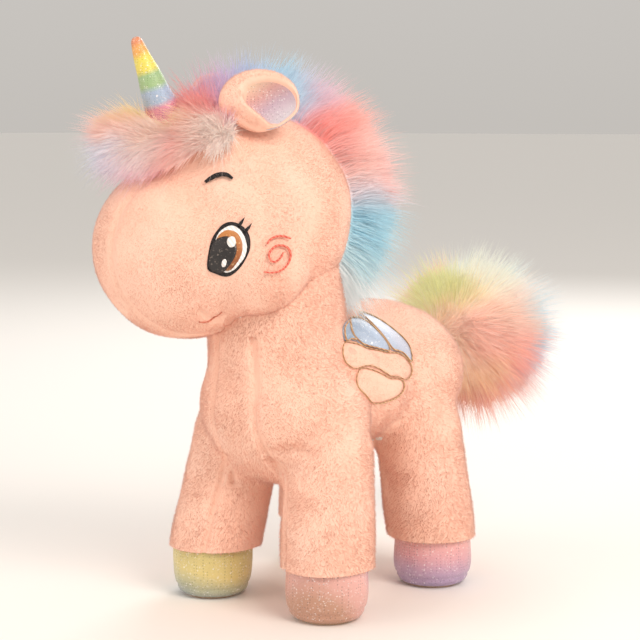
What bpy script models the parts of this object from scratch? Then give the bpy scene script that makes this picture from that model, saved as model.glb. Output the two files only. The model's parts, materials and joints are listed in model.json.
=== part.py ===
"""A stuffed plush unicorn: sewn plush covers over fibre stuffing, a glitter horn and hooves, a long fur mane and tail.

Lengths are in millimetres and are turned into metres when a mesh is made. The unicorn's own axes are: -Y is
the way it faces, +X is its left side and +Z is up. Its head is sewn on turned towards its right shoulder.
Each cover is a shell with stuffing in it. Head, legs, ears and tail bend at their seams, so at each of those
seams two shallow cones meet tip to tip, which leaves the moving side room to tilt.
"""

import math

import bmesh
import bpy
from mathutils import Matrix, Vector

MM = 0.001

# Fabric and fits
PLUSH = 3.0  # plush cloth with its pile
FOIL_CLOTH = 1.2  # glitter cloth of the horn and hooves
STITCH = 1.0  # how far embroidery stands up
GAP = 0.4  # room between neighbours
SLACK = 1.5  # room between a soft cover and its stuffing
SEAM_GAP = 0.2  # from the middle of a seam to the cut edge of each panel
DETAIL = 6.0  # fineness of a soft form before it is thinned out

# Torso
HIP_HEIGHT = 88.0
NECK_RADIUS = 39.0
NECK_SEAM = Vector((0.0, -41.0, 165.0))
BELLY_GUSSET_HALF = 14.0

# Head, in its own axes: forward from the neck seam, to its left, and up from the ground
HEAD_TURN = math.radians(29)
SKULL_FORWARD, SKULL_UP = 17.0, 217.0
SKULL_RADII = (50.0, 57.5, 56.5)
MUZZLE_FORWARD, MUZZLE_UP = 50.5, 200.0
MUZZLE_RADII = (43.0, 49.5, 48.5)
HEAD_GUSSET_HALF = 16.0
NOD = math.radians(8)

# Legs
LEG_RADIUS, CUFF_RADIUS, CUFF_HEIGHT = 24.0, 25.4, 29.5
HOOF_RADIUS, SOLE_RADIUS, SOLE_THICK = 22.3, 15.0, 2.0
LEGS = {
    "front_left": ((33.0, -36.0), (41.6, -47.5)),
    "front_right": ((-33.0, -36.0), (-41.6, -47.5)),
    "rear_left": ((35.0, 45.0), (42.5, 50.0)),
    "rear_right": ((-35.0, 45.0), (-42.5, 50.0)),
}
LEG_SWING = math.radians(10)
SEGMENTS = 18

# Horn, ears, mane and tail
HORN_FORWARD, HORN_UP, HORN_LENGTH, HORN_BASE, HORN_TIP = 56.0, 255.0, 60.0, 13.0, 4.4
HORN_LEAN = math.radians(21)
EAR_FORWARD, EAR_OUT, EAR_UP = 23.0, 37.5, 259.5
EAR_RADII = (21.0, 9.5, 18.0)
EAR_CLEARANCE = 1.4
MANE_HALF = 27.0
TAIL_ROOT = Vector((0.0, 99.5, 136.0))
TAIL_LENGTH, TAIL_RADIUS, TAIL_CORE = 106.0, 46.0, 8.0


def clear_scene():
    for old in list(bpy.data.objects):
        bpy.data.objects.remove(old)


def plain_material(name, red, green, blue, roughness):
    made = bpy.data.materials.new(name)
    made.use_nodes = True
    shader = made.node_tree.nodes["Principled BSDF"]
    shader.inputs["Base Color"].default_value = (red, green, blue, 1)
    shader.inputs["Roughness"].default_value = roughness
    shader.inputs["Metallic"].default_value = 0
    return made


# Placing things on the turned head


def head_point(forward, left, up):
    """A point given in the head's axes, in the unicorn's axes."""
    ahead = Vector((-math.sin(HEAD_TURN), -math.cos(HEAD_TURN), 0))
    side = Vector((math.cos(HEAD_TURN), -math.sin(HEAD_TURN), 0))
    return Vector((NECK_SEAM.x, NECK_SEAM.y, 0)) + ahead * forward + side * left + Vector((0, 0, up))


def head_turn():
    """Turns a shape made with the head facing -Y."""
    return Matrix.Rotation(-HEAD_TURN, 4, "Z")


# Meshes


def mesh_of(shape, name):
    """The bmesh as a mesh in metres."""
    bmesh.ops.recalc_face_normals(shape, faces=shape.faces)
    bmesh.ops.scale(shape, vec=(MM, MM, MM), verts=shape.verts)
    mesh = bpy.data.meshes.new(name)
    shape.to_mesh(mesh)
    shape.free()
    return mesh


def add_ellipsoid(shape, centre, radii, turn=None, detail=4):
    """An icosphere of these radii, turned and then placed."""
    place = Matrix.Translation(centre) @ (turn or Matrix.Identity(4)) @ Matrix.Diagonal((*radii, 1))
    bmesh.ops.create_icosphere(shape, subdivisions=detail, radius=1, matrix=place)


def add_column(shape, bottom, top, radius):
    """An upright or leaning column with round ends."""
    bottom, top = Vector(bottom), Vector(top)
    steps = 6
    for i in range(steps + 1):
        add_ellipsoid(shape, bottom.lerp(top, i / steps), (radius, radius, radius), detail=3)


def box_mesh(name, low, high):
    shape = bmesh.new()
    low, high = Vector(low), Vector(high)
    place = Matrix.Translation((low + high) / 2) @ Matrix.Diagonal((*(high - low), 1))
    bmesh.ops.create_cube(shape, size=1, matrix=place)
    return mesh_of(shape, name)


def prism_mesh(name, outline, low, high, place):
    """An outline in the YZ plane, extruded along X from low to high, then placed."""
    shape = bmesh.new()
    near = [shape.verts.new((low, y, z)) for y, z in outline]
    far = [shape.verts.new((high, y, z)) for y, z in outline]
    shape.faces.new(near[::-1])
    shape.faces.new(far)
    for i in range(len(outline)):
        shape.faces.new((near[i - 1], near[i], far[i], far[i - 1]))
    bmesh.ops.triangulate(shape, faces=shape.faces)
    bmesh.ops.transform(shape, matrix=place, verts=shape.verts)
    return mesh_of(shape, name)


def lathe_mesh(name, profile, place=None, segments=SEGMENTS):
    """A closed profile of (radius, height) points, turned about Z and then placed."""
    shape = bmesh.new()
    points = [shape.verts.new((radius, 0, height)) for radius, height in profile]
    edges = [shape.edges.new((a, b)) for a, b in zip(points, points[1:] + points[:1], strict=True)]
    bmesh.ops.spin(
        shape, geom=points + edges, cent=(0, 0, 0), axis=(0, 0, 1), angle=math.tau, steps=segments
    )
    bmesh.ops.remove_doubles(shape, verts=shape.verts, dist=0.001)
    loose = [edge for edge in shape.edges if not edge.link_faces]
    bmesh.ops.delete(shape, geom=loose, context="EDGES")
    bmesh.ops.transform(shape, matrix=place or Matrix.Identity(4), verts=shape.verts)
    return mesh_of(shape, name)


def evaluated_mesh(obj, name):
    bpy.context.view_layer.update()
    graph = bpy.context.evaluated_depsgraph_get()
    return bpy.data.meshes.new_from_object(obj.evaluated_get(graph), depsgraph=graph).copy()


def soft_form(name, fill, triangles, shrink=0.0):
    """One smooth skin over everything that fill adds to a bmesh, shrunk by a distance in millimetres and
    thinned out to about this many triangles."""
    shape = bmesh.new()
    fill(shape)
    helper = bpy.data.objects.new(name, mesh_of(shape, name))
    bpy.context.scene.collection.objects.link(helper)
    remesh = helper.modifiers.new("skin", "REMESH")
    remesh.mode = "VOXEL"
    remesh.voxel_size = DETAIL * MM
    smooth = helper.modifiers.new("smooth", "SMOOTH")
    smooth.factor = 0.5
    smooth.iterations = 10
    inwards = helper.modifiers.new("inwards", "DISPLACE")
    inwards.mid_level = 0
    inwards.strength = -shrink * MM
    fine = evaluated_mesh(helper, name)
    thin = helper.modifiers.new("thin", "DECIMATE")
    thin.ratio = triangles / (2 * len(fine.polygons))
    skin = evaluated_mesh(helper, name)
    bpy.data.objects.remove(helper)
    return skin


def offset(mesh, distance):
    """A copy of a closed mesh, grown along its normals by a distance in millimetres."""
    grown = mesh.copy()
    normals = [vertex.normal.copy() for vertex in mesh.vertices]
    for vertex, normal in zip(grown.vertices, normals, strict=True):
        vertex.co += normal * distance * MM
    return grown


# Objects


def hidden(mesh):
    """A helper that only cuts."""
    helper = bpy.data.objects.new("cutter", mesh)
    helper.hide_render = True
    helper.display_type = "WIRE"
    bpy.context.scene.collection.objects.link(helper)
    return helper


def shape_by(mesh, *steps):
    """A mesh after Boolean steps, each (operation, helper)."""
    work = bpy.data.objects.new("work", mesh)
    bpy.context.scene.collection.objects.link(work)
    for operation, helper in steps:
        cut = work.modifiers.new(operation, "BOOLEAN")
        cut.operation = operation
        cut.solver = "EXACT"
        cut.object = helper
    made = evaluated_mesh(work, "made")
    bpy.data.objects.remove(work)
    return made


def node(name, mesh, material, pivot):
    """One piece, with its origin on its joint's axis or, if it doesn't move, at the root."""
    mesh.transform(Matrix.Translation(-pivot.location))
    mesh.name = name
    mesh.materials.clear()
    mesh.materials.append(material)
    mesh.shade_smooth()
    mesh.set_sharp_from_angle(angle=math.radians(35))
    piece = bpy.data.objects.new(name, mesh)
    bpy.context.scene.collection.objects.link(piece)
    piece.parent = pivot
    return piece


def pivot_at(name, point, root=None):
    """An empty on a joint's axis, given in millimetres."""
    empty = bpy.data.objects.new(name, None)
    empty.location = Vector(point) * MM
    empty.parent = root
    bpy.context.scene.collection.objects.link(empty)
    return empty


# The soft forms


def fill_torso(shape):
    add_ellipsoid(shape, (0, 46, 121), (54, 55, 42))
    add_ellipsoid(shape, (0, 4, 122), (51, 56, 40))
    add_ellipsoid(shape, (0, -37, 113), (46, 42, 45))
    add_column(shape, (0, -36, 130), (0, -41, 178), NECK_RADIUS + 1)
    for (x, y), _ in LEGS.values():
        add_column(shape, (x, y, 78), (x * 0.85, y * 0.9, 108), LEG_RADIUS + 1)


def fill_head(shape):
    turn = head_turn()
    add_ellipsoid(shape, head_point(SKULL_FORWARD, 0, SKULL_UP), [r + 1 for r in SKULL_RADII], turn)
    add_ellipsoid(shape, head_point(MUZZLE_FORWARD, 0, MUZZLE_UP), [r + 1 for r in MUZZLE_RADII], turn)
    add_column(shape, (0, -41, 150), (0, -43, 196), NECK_RADIUS)


def seam_cone(tip, tilt, radius, depth, upward, lean=None):
    """The room on one side of a bending seam: a block whose shallow cone has its tip at the seam's middle."""
    rise = radius * math.tan(tilt)
    sign = 1 if upward else -1
    profile = [(0, sign * GAP), (radius, sign * (GAP + rise)), (radius, -sign * depth), (0, -sign * depth)]
    return lathe_mesh("cone", profile, Matrix.Translation(tip) @ (lean or Matrix.Identity(4)), 32)


def neck_lean():
    """The neck seam is lower under the chin than at the nape."""
    side = head_point(0, 1, 0) - head_point(0, 0, 0)
    return Matrix.Rotation(math.radians(10), 4, side)


def leg_room(hip):
    """The room that a leg takes below its seam as it swings both ways."""
    slope = math.tan(LEG_SWING * 0.6)
    radius = LEG_RADIUS + 2
    profile = [(0, GAP), (radius, GAP + radius * slope), (radius, -2), (radius + 12, -70), (0, -70)]
    return lathe_mesh("leg_room", profile, Matrix.Translation(Vector((*hip, HIP_HEIGHT))), SEGMENTS)


def cut_torso(skin):
    """A torso form with its neck and leg seams cut free."""
    neck = hidden(seam_cone(NECK_SEAM, NOD * 0.6, 75, 60, False, neck_lean()))
    rooms = [("DIFFERENCE", hidden(leg_room(hip))) for hip, _ in LEGS.values()]
    return shape_by(skin, ("DIFFERENCE", neck), *rooms)


def cut_head(skin):
    """A head form with its neck seam cut free."""
    under = hidden(seam_cone(NECK_SEAM, NOD * 0.6, 46, 60, True, neck_lean()))
    return shape_by(skin, ("DIFFERENCE", under))


# Sub-parts


def make_torso(pink, wool, root):
    skin = soft_form("torso_form", fill_torso, 1100)
    outer = hidden(cut_torso(skin.copy()))
    inner = hidden(soft_form("torso_hollow", fill_torso, 900, PLUSH))
    gusset_outline = [(-130, 190), (-60, 190), (72, 92), (84, 60), (-130, 60)]
    strip = hidden(
        prism_mesh(
            "strip",
            gusset_outline,
            -BELLY_GUSSET_HALF - SEAM_GAP,
            BELLY_GUSSET_HALF + SEAM_GAP,
            Matrix.Identity(4),
        )
    )
    for name, low, high in (
        ("torso_side_left", (SEAM_GAP, -150, 40), (90, 150, 230)),
        ("torso_side_right", (-90, -150, 40), (-SEAM_GAP, 150, 230)),
    ):
        half = box_mesh(name, low, high)
        panel = shape_by(half, ("INTERSECT", outer), ("DIFFERENCE", inner), ("DIFFERENCE", strip))
        node(name, panel, pink, root)
    middle = prism_mesh(
        "middle",
        gusset_outline,
        -BELLY_GUSSET_HALF + SEAM_GAP,
        BELLY_GUSSET_HALF - SEAM_GAP,
        Matrix.Identity(4),
    )
    node(
        "chest_belly_gusset", shape_by(middle, ("INTERSECT", outer), ("DIFFERENCE", inner)), pink, root
    )
    node("torso_stuffing", cut_torso(soft_form("torso_fill", fill_torso, 900, PLUSH + SLACK)), wool, root)
    return skin


def make_head(pink, wool, head):
    skin = soft_form("head_form", fill_head, 700)
    outer = hidden(cut_head(skin.copy()))
    inner = hidden(soft_form("head_hollow", fill_head, 600, PLUSH))
    place = Matrix.Translation(head_point(0, 0, 0)) @ head_turn()
    for name, low, high in (
        ("head_side_left", HEAD_GUSSET_HALF + SEAM_GAP, 80),
        ("head_side_right", -80, -HEAD_GUSSET_HALF - SEAM_GAP),
        ("head_gusset", -HEAD_GUSSET_HALF + SEAM_GAP, HEAD_GUSSET_HALF - SEAM_GAP),
    ):
        square = [(-130, 120), (90, 120), (90, 300), (-130, 300)]
        slab = prism_mesh(name, square, low, high, place)
        node(name, shape_by(slab, ("INTERSECT", outer), ("DIFFERENCE", inner)), pink, head)
    node("head_stuffing", cut_head(soft_form("head_fill", fill_head, 600, PLUSH + SLACK)), wool, head)
    return skin


def rounded_outline(centre, across, up, lean=0.0, points=20):
    """An ellipse in a side view, as (y, z) points, leaning by an angle."""
    found = []
    for i in range(points):
        a = math.tau * i / points
        y, z = across * math.cos(a), up * math.sin(a)
        found.append(
            (centre[0] + y * math.cos(lean) - z * math.sin(lean), centre[1] + y * math.sin(lean) + z * math.cos(lean))
        )
    return found


def arc_band(centre, radius, half_width, start, end, grow=0.0, points=10):
    """A curved band as a closed outline, from one angle to another. grow widens its radius along the way."""
    outside, inside = [], []
    for i in range(points + 1):
        part = i / points
        a = math.radians(start + (end - start) * part)
        r = radius + grow * part
        outside.append((centre[0] + (r + half_width) * math.cos(a), centre[1] + (r + half_width) * math.sin(a)))
        inside.append((centre[0] + (r - half_width) * math.cos(a), centre[1] + (r - half_width) * math.sin(a)))
    return outside + inside[::-1]


def patches(skin, outlines, place, pivot):
    """Thin pieces that lie on a soft form. outlines is {name: (outline, material)}, made on both sides."""
    top, under = hidden(offset(skin, GAP + STITCH)), hidden(offset(skin, GAP))
    for side, low, high in (("left", 12, 90), ("right", -90, -12)):
        for name, (outline, material) in outlines.items():
            block = prism_mesh(name, outline, low, high, place)
            piece = shape_by(block, ("INTERSECT", top), ("DIFFERENCE", under))
            node(f"{name}_{side}", piece, material, pivot)


def make_face(skin, black, coral, head):
    """Embroidered eyes, brows, cheek swirls and mouth corners. Outlines are (backward, up) in the head's axes."""
    place = Matrix.Translation(head_point(0, 0, 0)) @ head_turn()
    patches(
        skin,
        {
            "eye": (rounded_outline((-43.5, 201.8), 10.2, 14.2, math.radians(-10)), black),
            "brow": (arc_band((-46, 232.3), 7.3, 1.1, 50, 150), black),
            "cheek_swirl": (arc_band((-20, 197.5), 2.4, 0.8, 60, 60 - 560, 6.4, 26), coral),
            "mouth_stitch": (arc_band((-45, 167), 8, 1.0, 250, 335), coral),
        },
        place,
        head,
    )


def make_wings(skin, silver, root):
    """The wing shape sewn on each flank."""
    outline = [(-30, 155), (-18, 158), (-4, 157), (7, 159), (14, 156), (20, 146), (20, 136)]
    outline += [(15, 128), (5, 119), (-4, 114), (-16, 113), (-26, 118), (-32, 126), (-35, 140)]
    patches(skin, {"wing": (outline, silver)}, Matrix.Identity(4), root)


def make_horn(skin, foil, wool, head):
    """A stuffed cone of striped glitter cloth, open where it is sewn to the forehead."""
    place = (
        Matrix.Translation(head_point(HORN_FORWARD, 0, HORN_UP))
        @ head_turn()
        @ Matrix.Rotation(HORN_LEAN, 4, "X")
    )
    end = HORN_LENGTH
    cover = lathe_mesh(
        "horn",
        [
            (HORN_BASE, 0),
            (HORN_TIP, end - 3),
            (HORN_TIP * 0.7, end - 0.6),
            (0, end),
            (0, end - FOIL_CLOTH),
            (HORN_TIP - FOIL_CLOTH, end - 4),
            (HORN_BASE - FOIL_CLOTH, 0),
        ],
        place,
    )
    slack = FOIL_CLOTH + GAP
    core = lathe_mesh(
        "core", [(0, 0), (HORN_BASE - slack, 0), (HORN_TIP - slack, end - 5), (0, end - 4.5)], place
    )
    forehead = hidden(offset(skin, GAP))
    node("horn_cover", shape_by(cover, ("DIFFERENCE", forehead)), foil, head)
    node("horn_stuffing", shape_by(core, ("DIFFERENCE", forehead)), wool, head)


def ear_place(side):
    """Where an ear is sewn on, with its opening turned outwards and forwards."""
    turn = head_turn() @ Matrix.Rotation(math.radians(58 * side), 4, "Z")
    return (
        Matrix.Translation(head_point(EAR_FORWARD, EAR_OUT * side, EAR_UP))
        @ turn
        @ Matrix.Rotation(math.radians(-8), 4, "X")
    )


def ellipsoid_mesh(centre, radii, place, detail=3):
    shape = bmesh.new()
    add_ellipsoid(shape, centre, radii, detail=detail)
    bmesh.ops.transform(shape, matrix=place, verts=shape.verts)
    return mesh_of(shape, "ellipsoid")


def make_ear(skin, name, side, pink, foil, pivot):
    """A round cupped ear, just clear of the head: a plush back and a glitter lining."""
    place = ear_place(side)
    across, deep, high = EAR_RADII
    middle = high + 1.5
    back = ellipsoid_mesh((0, 0, middle), (across, deep, high), place)
    hollow = hidden(ellipsoid_mesh((0, -deep * 0.85, middle + 0.5), (across - 4, deep, high - 4), place))
    scalp = hidden(offset(skin, EAR_CLEARANCE))
    node(f"{name}_cover", shape_by(back, ("DIFFERENCE", hollow), ("DIFFERENCE", scalp)), pink, pivot)
    lining = ellipsoid_mesh((0, -deep * 0.85, middle + 0.5), (across - 4.4, deep - GAP, high - 4.4), place)
    front = hidden(ellipsoid_mesh((0, -deep - 4.0, middle + 0.5), (across, deep + 3.0, high), place))
    node(f"{name}_lining", shape_by(lining, ("DIFFERENCE", front)), foil, pivot)


def ear_rooms():
    """The room behind each ear that the mane leaves free, so that the ear can fold back a little."""
    across, deep, high = EAR_RADII
    size = (across + 3, deep + 8, high + 3)
    return [hidden(ellipsoid_mesh((0, 5, high + 1.5), size, ear_place(side))) for side in (1, -1)]


def make_mane(skin, fur, head):
    """The forelock before the horn and the crest from behind the horn to the nape."""
    scalp = hidden(offset(skin, GAP))
    turn = head_turn()
    place = Matrix.Translation(head_point(0, 0, 0)) @ turn
    horn_room = hidden(
        lathe_mesh(
            "horn_room",
            [(0, -20), (HORN_BASE + 4, -20), (HORN_BASE + 1, 30), (HORN_BASE - 3, 60), (0, 60)],
            Matrix.Translation(head_point(HORN_FORWARD, 0, HORN_UP))
            @ turn
            @ Matrix.Rotation(HORN_LEAN, 4, "X"),
        )
    )
    shape = bmesh.new()
    add_ellipsoid(shape, head_point(80, 0, 252), (21, 23, 20), turn, detail=3)
    lock = shape_by(mesh_of(shape, "lock"), ("DIFFERENCE", scalp), ("DIFFERENCE", horn_room))
    node("forelock", lock, fur, head)
    shape = bmesh.new()
    add_ellipsoid(shape, head_point(8, 0, 220), (MANE_HALF, 78, 80), turn, detail=4)
    outline = [(-41, 330), (-41, 240), (0, 215), (30, 190), (90, 190), (90, 330)]
    slab = hidden(prism_mesh("slab", outline, -60, 60, place))
    cuts = [("INTERSECT", slab), ("DIFFERENCE", scalp), ("DIFFERENCE", horn_room)]
    cuts += [("DIFFERENCE", room) for room in ear_rooms()]
    node("mane", shape_by(mesh_of(shape, "crest"), *cuts), fur, head)


def sheared(mesh, hip, hoof):
    """A leg stands upright on its hoof and leans from the cuff up to its hip."""
    for vertex in mesh.vertices:
        part = min(max((vertex.co.z / MM - CUFF_HEIGHT) / (HIP_HEIGHT - CUFF_HEIGHT), 0), 1)
        vertex.co.x += (hoof[0] + (hip[0] - hoof[0]) * part) * MM
        vertex.co.y += (hoof[1] + (hip[1] - hoof[1]) * part) * MM
    return mesh


def hoof_profile(inset):
    """The round toe from the sole's edge up into the cuff, as (radius, height), set in by a distance."""
    bottom, widest = 3.2, 16.0
    steps = 5
    low_radius = SOLE_RADIUS + 2.0
    points = []
    for i in range(steps + 1):
        a = math.pi / 2 * i / steps
        radius = low_radius + (HOOF_RADIUS - low_radius) * math.sin(a)
        points.append((radius - inset, widest - (widest - bottom) * math.cos(a)))
    return [*points, (HOOF_RADIUS - inset, 24.0), (HOOF_RADIUS - 0.8 - inset, 36.0)]


def make_leg(name, hip, hoof, colours, pivot):
    pink, wool, foil = colours
    slope = math.tan(LEG_SWING * 0.6)
    top = HIP_HEIGHT - GAP
    inner = LEG_RADIUS - PLUSH
    cover = [
        (CUFF_RADIUS, CUFF_HEIGHT),
        (CUFF_RADIUS, CUFF_HEIGHT + 8),
        (LEG_RADIUS, CUFF_HEIGHT + 26),
        (LEG_RADIUS, top - LEG_RADIUS * slope),
        (inner, top - inner * slope),
        (inner, CUFF_HEIGHT + 26),
        (CUFF_RADIUS - PLUSH, CUFF_HEIGHT + 8),
        (CUFF_RADIUS - PLUSH + 0.3, CUFF_HEIGHT),
    ]
    node(f"leg_{name}_cover", sheared(lathe_mesh("leg", cover), hip, hoof), pink, pivot)
    toe = hoof_profile(0) + hoof_profile(FOIL_CLOTH)[::-1]
    node(f"hoof_{name}", sheared(lathe_mesh("toe", toe), hip, hoof), foil, pivot)
    disc = [(0, 0), (SOLE_RADIUS, 0), (SOLE_RADIUS + 1.4, SOLE_THICK), (0, SOLE_THICK)]
    node(f"sole_{name}", sheared(lathe_mesh("sole", disc), hip, hoof), foil, pivot)
    slack = FOIL_CLOTH + GAP
    fill = [(0, SOLE_THICK + GAP), (SOLE_RADIUS - slack, SOLE_THICK + GAP)]
    fill += hoof_profile(slack)
    fill += [
        (inner - GAP - 0.4, CUFF_HEIGHT + 26),
        (inner - GAP - 0.4, top - inner * slope),
        (0, top - 0.1),
    ]
    node(f"leg_{name}_stuffing", sheared(lathe_mesh("fill", fill), hip, hoof), wool, pivot)


def make_tail(fur, wool, pivot):
    """A bushy fur pouch round a stuffed core, lying along +Y from its root."""
    place = Matrix.Translation(TAIL_ROOT) @ Matrix.Rotation(math.radians(-90), 4, "X")
    steps = 12
    profile = []
    for i in range(steps + 1):
        a = math.pi * (0.14 + 0.86 * i / steps)
        along = 4 + (TAIL_LENGTH - 4) * (1 - math.cos(a)) / 2
        profile.append((TAIL_RADIUS * math.sin(a) ** 0.8 if i < steps else 0, along))
    bore = TAIL_CORE + GAP
    start = profile[0][1]
    pouch = [*profile, (0, 72), (bore, 68), (bore, start)]
    node("tail_fur", lathe_mesh("pouch", pouch, place), fur, pivot)
    core = [(0, 1.2), (TAIL_CORE * 0.6, 1.4), (TAIL_CORE, 6), (TAIL_CORE, 66), (0, 70)]
    node("tail_core", lathe_mesh("core", core, place, 16), wool, pivot)


def stand_on_origin(root):
    """Moves the whole unicorn so that the middle of its footprint is at the origin."""
    bpy.context.view_layer.update()
    graph = bpy.context.evaluated_depsgraph_get()
    corners = []
    for piece in bpy.data.objects:
        if piece.type == "MESH" and not piece.hide_render:
            made = piece.evaluated_get(graph)
            corners += [made.matrix_world @ Vector(corner) for corner in made.bound_box]
    low = [min(corner[i] for corner in corners) for i in range(3)]
    high = [max(corner[i] for corner in corners) for i in range(3)]
    root.location = (-(low[0] + high[0]) / 2, -(low[1] + high[1]) / 2, -low[2])
    bpy.context.view_layer.update()


def main():
    clear_scene()
    pink = plain_material("pink_plush", 0.90, 0.53, 0.42, 0.95)
    wool = plain_material("fibre_stuffing", 0.90, 0.90, 0.88, 0.95)
    foil = plain_material("glitter_cloth", 0.75, 0.60, 0.68, 0.35)
    silver = plain_material("silver_glitter_cloth", 0.62, 0.68, 0.74, 0.35)
    fur = plain_material("rainbow_fur", 0.92, 0.62, 0.60, 0.9)
    black = plain_material("black_thread", 0.02, 0.02, 0.02, 0.6)
    coral = plain_material("coral_thread", 0.80, 0.22, 0.18, 0.6)

    root = pivot_at("unicorn", (0, 0, 0))
    head = pivot_at("neck_pivot", NECK_SEAM, root)
    torso_skin = make_torso(pink, wool, root)
    make_wings(torso_skin, silver, root)
    head_skin = make_head(pink, wool, head)
    make_face(head_skin, black, coral, head)
    make_horn(head_skin, foil, wool, head)
    make_mane(head_skin, fur, head)
    for name, side in (("ear_left", 1), ("ear_right", -1)):
        at = ear_place(side).translation + Vector((0, 0, 2.0))
        make_ear(head_skin, name, side, pink, foil, pivot_at(f"{name}_pivot", at, root))
    for name, (hip, hoof) in LEGS.items():
        pivot = pivot_at(f"hip_{name}", (*hip, HIP_HEIGHT), root)
        make_leg(name, hip, hoof, (pink, wool, foil), pivot)
    make_tail(fur, wool, pivot_at("tail_pivot", TAIL_ROOT, root))
    stand_on_origin(root)
    for empty in bpy.data.objects:
        if empty.type == "EMPTY":
            print(empty.name, [round(value, 5) for value in empty.matrix_world.translation])


main()
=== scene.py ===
# plush unicorn: everything soft and shiny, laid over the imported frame
# lengths in the dictionaries are millimetres in the toy's own axes: -y ahead, +x its left, z up

import json
import math

import bpy
import numpy as np
from mathutils import Euler, Matrix, Vector
from mathutils.bvhtree import BVHTree

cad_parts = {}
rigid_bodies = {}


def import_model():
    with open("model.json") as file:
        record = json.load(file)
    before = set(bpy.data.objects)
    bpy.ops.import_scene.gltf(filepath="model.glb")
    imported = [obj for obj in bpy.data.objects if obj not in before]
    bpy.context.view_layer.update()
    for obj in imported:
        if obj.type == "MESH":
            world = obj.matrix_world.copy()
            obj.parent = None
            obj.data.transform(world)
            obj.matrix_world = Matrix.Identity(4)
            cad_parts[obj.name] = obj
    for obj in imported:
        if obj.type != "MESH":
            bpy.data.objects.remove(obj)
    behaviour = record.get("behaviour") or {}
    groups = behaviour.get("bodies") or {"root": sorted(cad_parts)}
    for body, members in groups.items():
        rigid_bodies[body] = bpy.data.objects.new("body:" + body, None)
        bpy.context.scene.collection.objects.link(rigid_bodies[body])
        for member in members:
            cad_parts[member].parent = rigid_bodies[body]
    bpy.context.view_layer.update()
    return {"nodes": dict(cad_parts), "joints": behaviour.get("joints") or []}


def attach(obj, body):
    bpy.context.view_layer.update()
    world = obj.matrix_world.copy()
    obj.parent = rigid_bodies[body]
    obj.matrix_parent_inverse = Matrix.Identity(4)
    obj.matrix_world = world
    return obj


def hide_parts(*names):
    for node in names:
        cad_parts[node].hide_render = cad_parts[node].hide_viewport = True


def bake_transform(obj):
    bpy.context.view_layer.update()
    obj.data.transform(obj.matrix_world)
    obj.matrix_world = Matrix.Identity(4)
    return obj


for old in list(bpy.data.objects):
    bpy.data.objects.remove(old)
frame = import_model()
mm = 0.001
joints = {joint["name"]: joint for joint in frame["joints"]}
neckSeam = Vector((0, -41, 165))  # where the toy's own axes put the neck joint
shift = Vector(joints["head_nod"]["pos_m"]) - neckSeam * mm
draws = np.random.default_rng(7)


def place(x, y, z):
    # a point in the toy's millimetres, in metres in the frame
    return Vector((x, y, z)) * mm + shift


headTurn = math.radians(29)
ahead = Vector((-math.sin(headTurn), -math.cos(headTurn), 0))
toLeft = Vector((math.cos(headTurn), -math.sin(headTurn), 0))
headSpin = Matrix.Rotation(-headTurn, 4, "Z")


def headMm(forward, left, up):
    # a point in the head's own directions, in the toy's millimetres
    return Vector((neckSeam.x, neckSeam.y, 0)) + ahead * forward + toLeft * left + Vector((0, 0, up))


def headPlace(forward, left, up):
    return place(*headMm(forward, left, up))


# modelling tools
def deselect():
    if bpy.context.object and bpy.context.object.mode != "OBJECT":
        bpy.ops.object.mode_set(mode="OBJECT")
    bpy.ops.object.select_all(action="DESELECT")


def pick(obj):
    deselect()
    obj.select_set(True)
    bpy.context.view_layer.objects.active = obj
    return obj


def applyAll(obj):
    pick(obj)
    for modifier in list(obj.modifiers):
        bpy.ops.object.modifier_apply(modifier=modifier.name)
    return obj


def settle(obj):
    # the object at the origin, with its place in its mesh
    pick(obj)
    bpy.ops.object.transform_apply(location=True, rotation=True, scale=True)
    return obj


def joinAll(objs, name):
    deselect()
    for obj in objs:
        obj.select_set(True)
    bpy.context.view_layer.objects.active = objs[0]
    if len(objs) > 1:
        bpy.ops.object.join()
    joined = bpy.context.object
    joined.name = joined.data.name = name
    return settle(joined)


def addBall(centre, radii, turn=(0, 0, 0), detail=4):
    deselect()
    bpy.ops.mesh.primitive_ico_sphere_add(
        subdivisions=detail,
        radius=1,
        location=centre,
        rotation=turn,
        scale=[radius * mm for radius in radii],
    )
    return settle(bpy.context.object)


def addColumn(bottom, top, bottomRadius, topRadius, steps=7):
    balls = []
    for i in range(steps + 1):
        part = i / steps
        radius = bottomRadius + (topRadius - bottomRadius) * part
        balls.append(addBall(place(*Vector(bottom).lerp(Vector(top), part)), [radius] * 3, detail=3))
    return balls


def skinOver(objs, name, voxel, rounds):
    # one soft skin over a heap of balls
    skin = joinAll(objs, name)
    remesh = skin.modifiers.new("skin", "REMESH")
    remesh.mode = "VOXEL"
    remesh.voxel_size = voxel * mm
    smooth = skin.modifiers.new("smooth", "SMOOTH")
    smooth.factor = 0.5
    smooth.iterations = rounds
    return applyAll(skin)


def points(mesh):
    found = np.empty(len(mesh.vertices) * 3)
    mesh.vertices.foreach_get("co", found)
    return found.reshape(-1, 3)


def setPoints(mesh, found):
    mesh.vertices.foreach_set("co", np.asarray(found, float).ravel())
    mesh.update()


def vertexNormals(mesh):
    found = np.empty(len(mesh.vertices) * 3)
    mesh.vertex_normals.foreach_get("vector", found)
    return found.reshape(-1, 3)


def toolSpace(found):
    # frame metres back to the toy's millimetres
    return (found - np.array(shift)) / mm


def headSpace(found):
    # frame metres to (forward, left, up) of the head, in millimetres
    own = toolSpace(found) - np.array((neckSeam.x, neckSeam.y, 0))
    return np.stack([own @ np.array(ahead), own @ np.array(toLeft), own[:, 2]], axis=1)


def smoothShade(obj, angle=None):
    pick(obj)
    if angle:
        bpy.ops.object.shade_smooth_by_angle(angle=math.radians(angle))
    else:
        bpy.ops.object.shade_smooth()
    return obj


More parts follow.
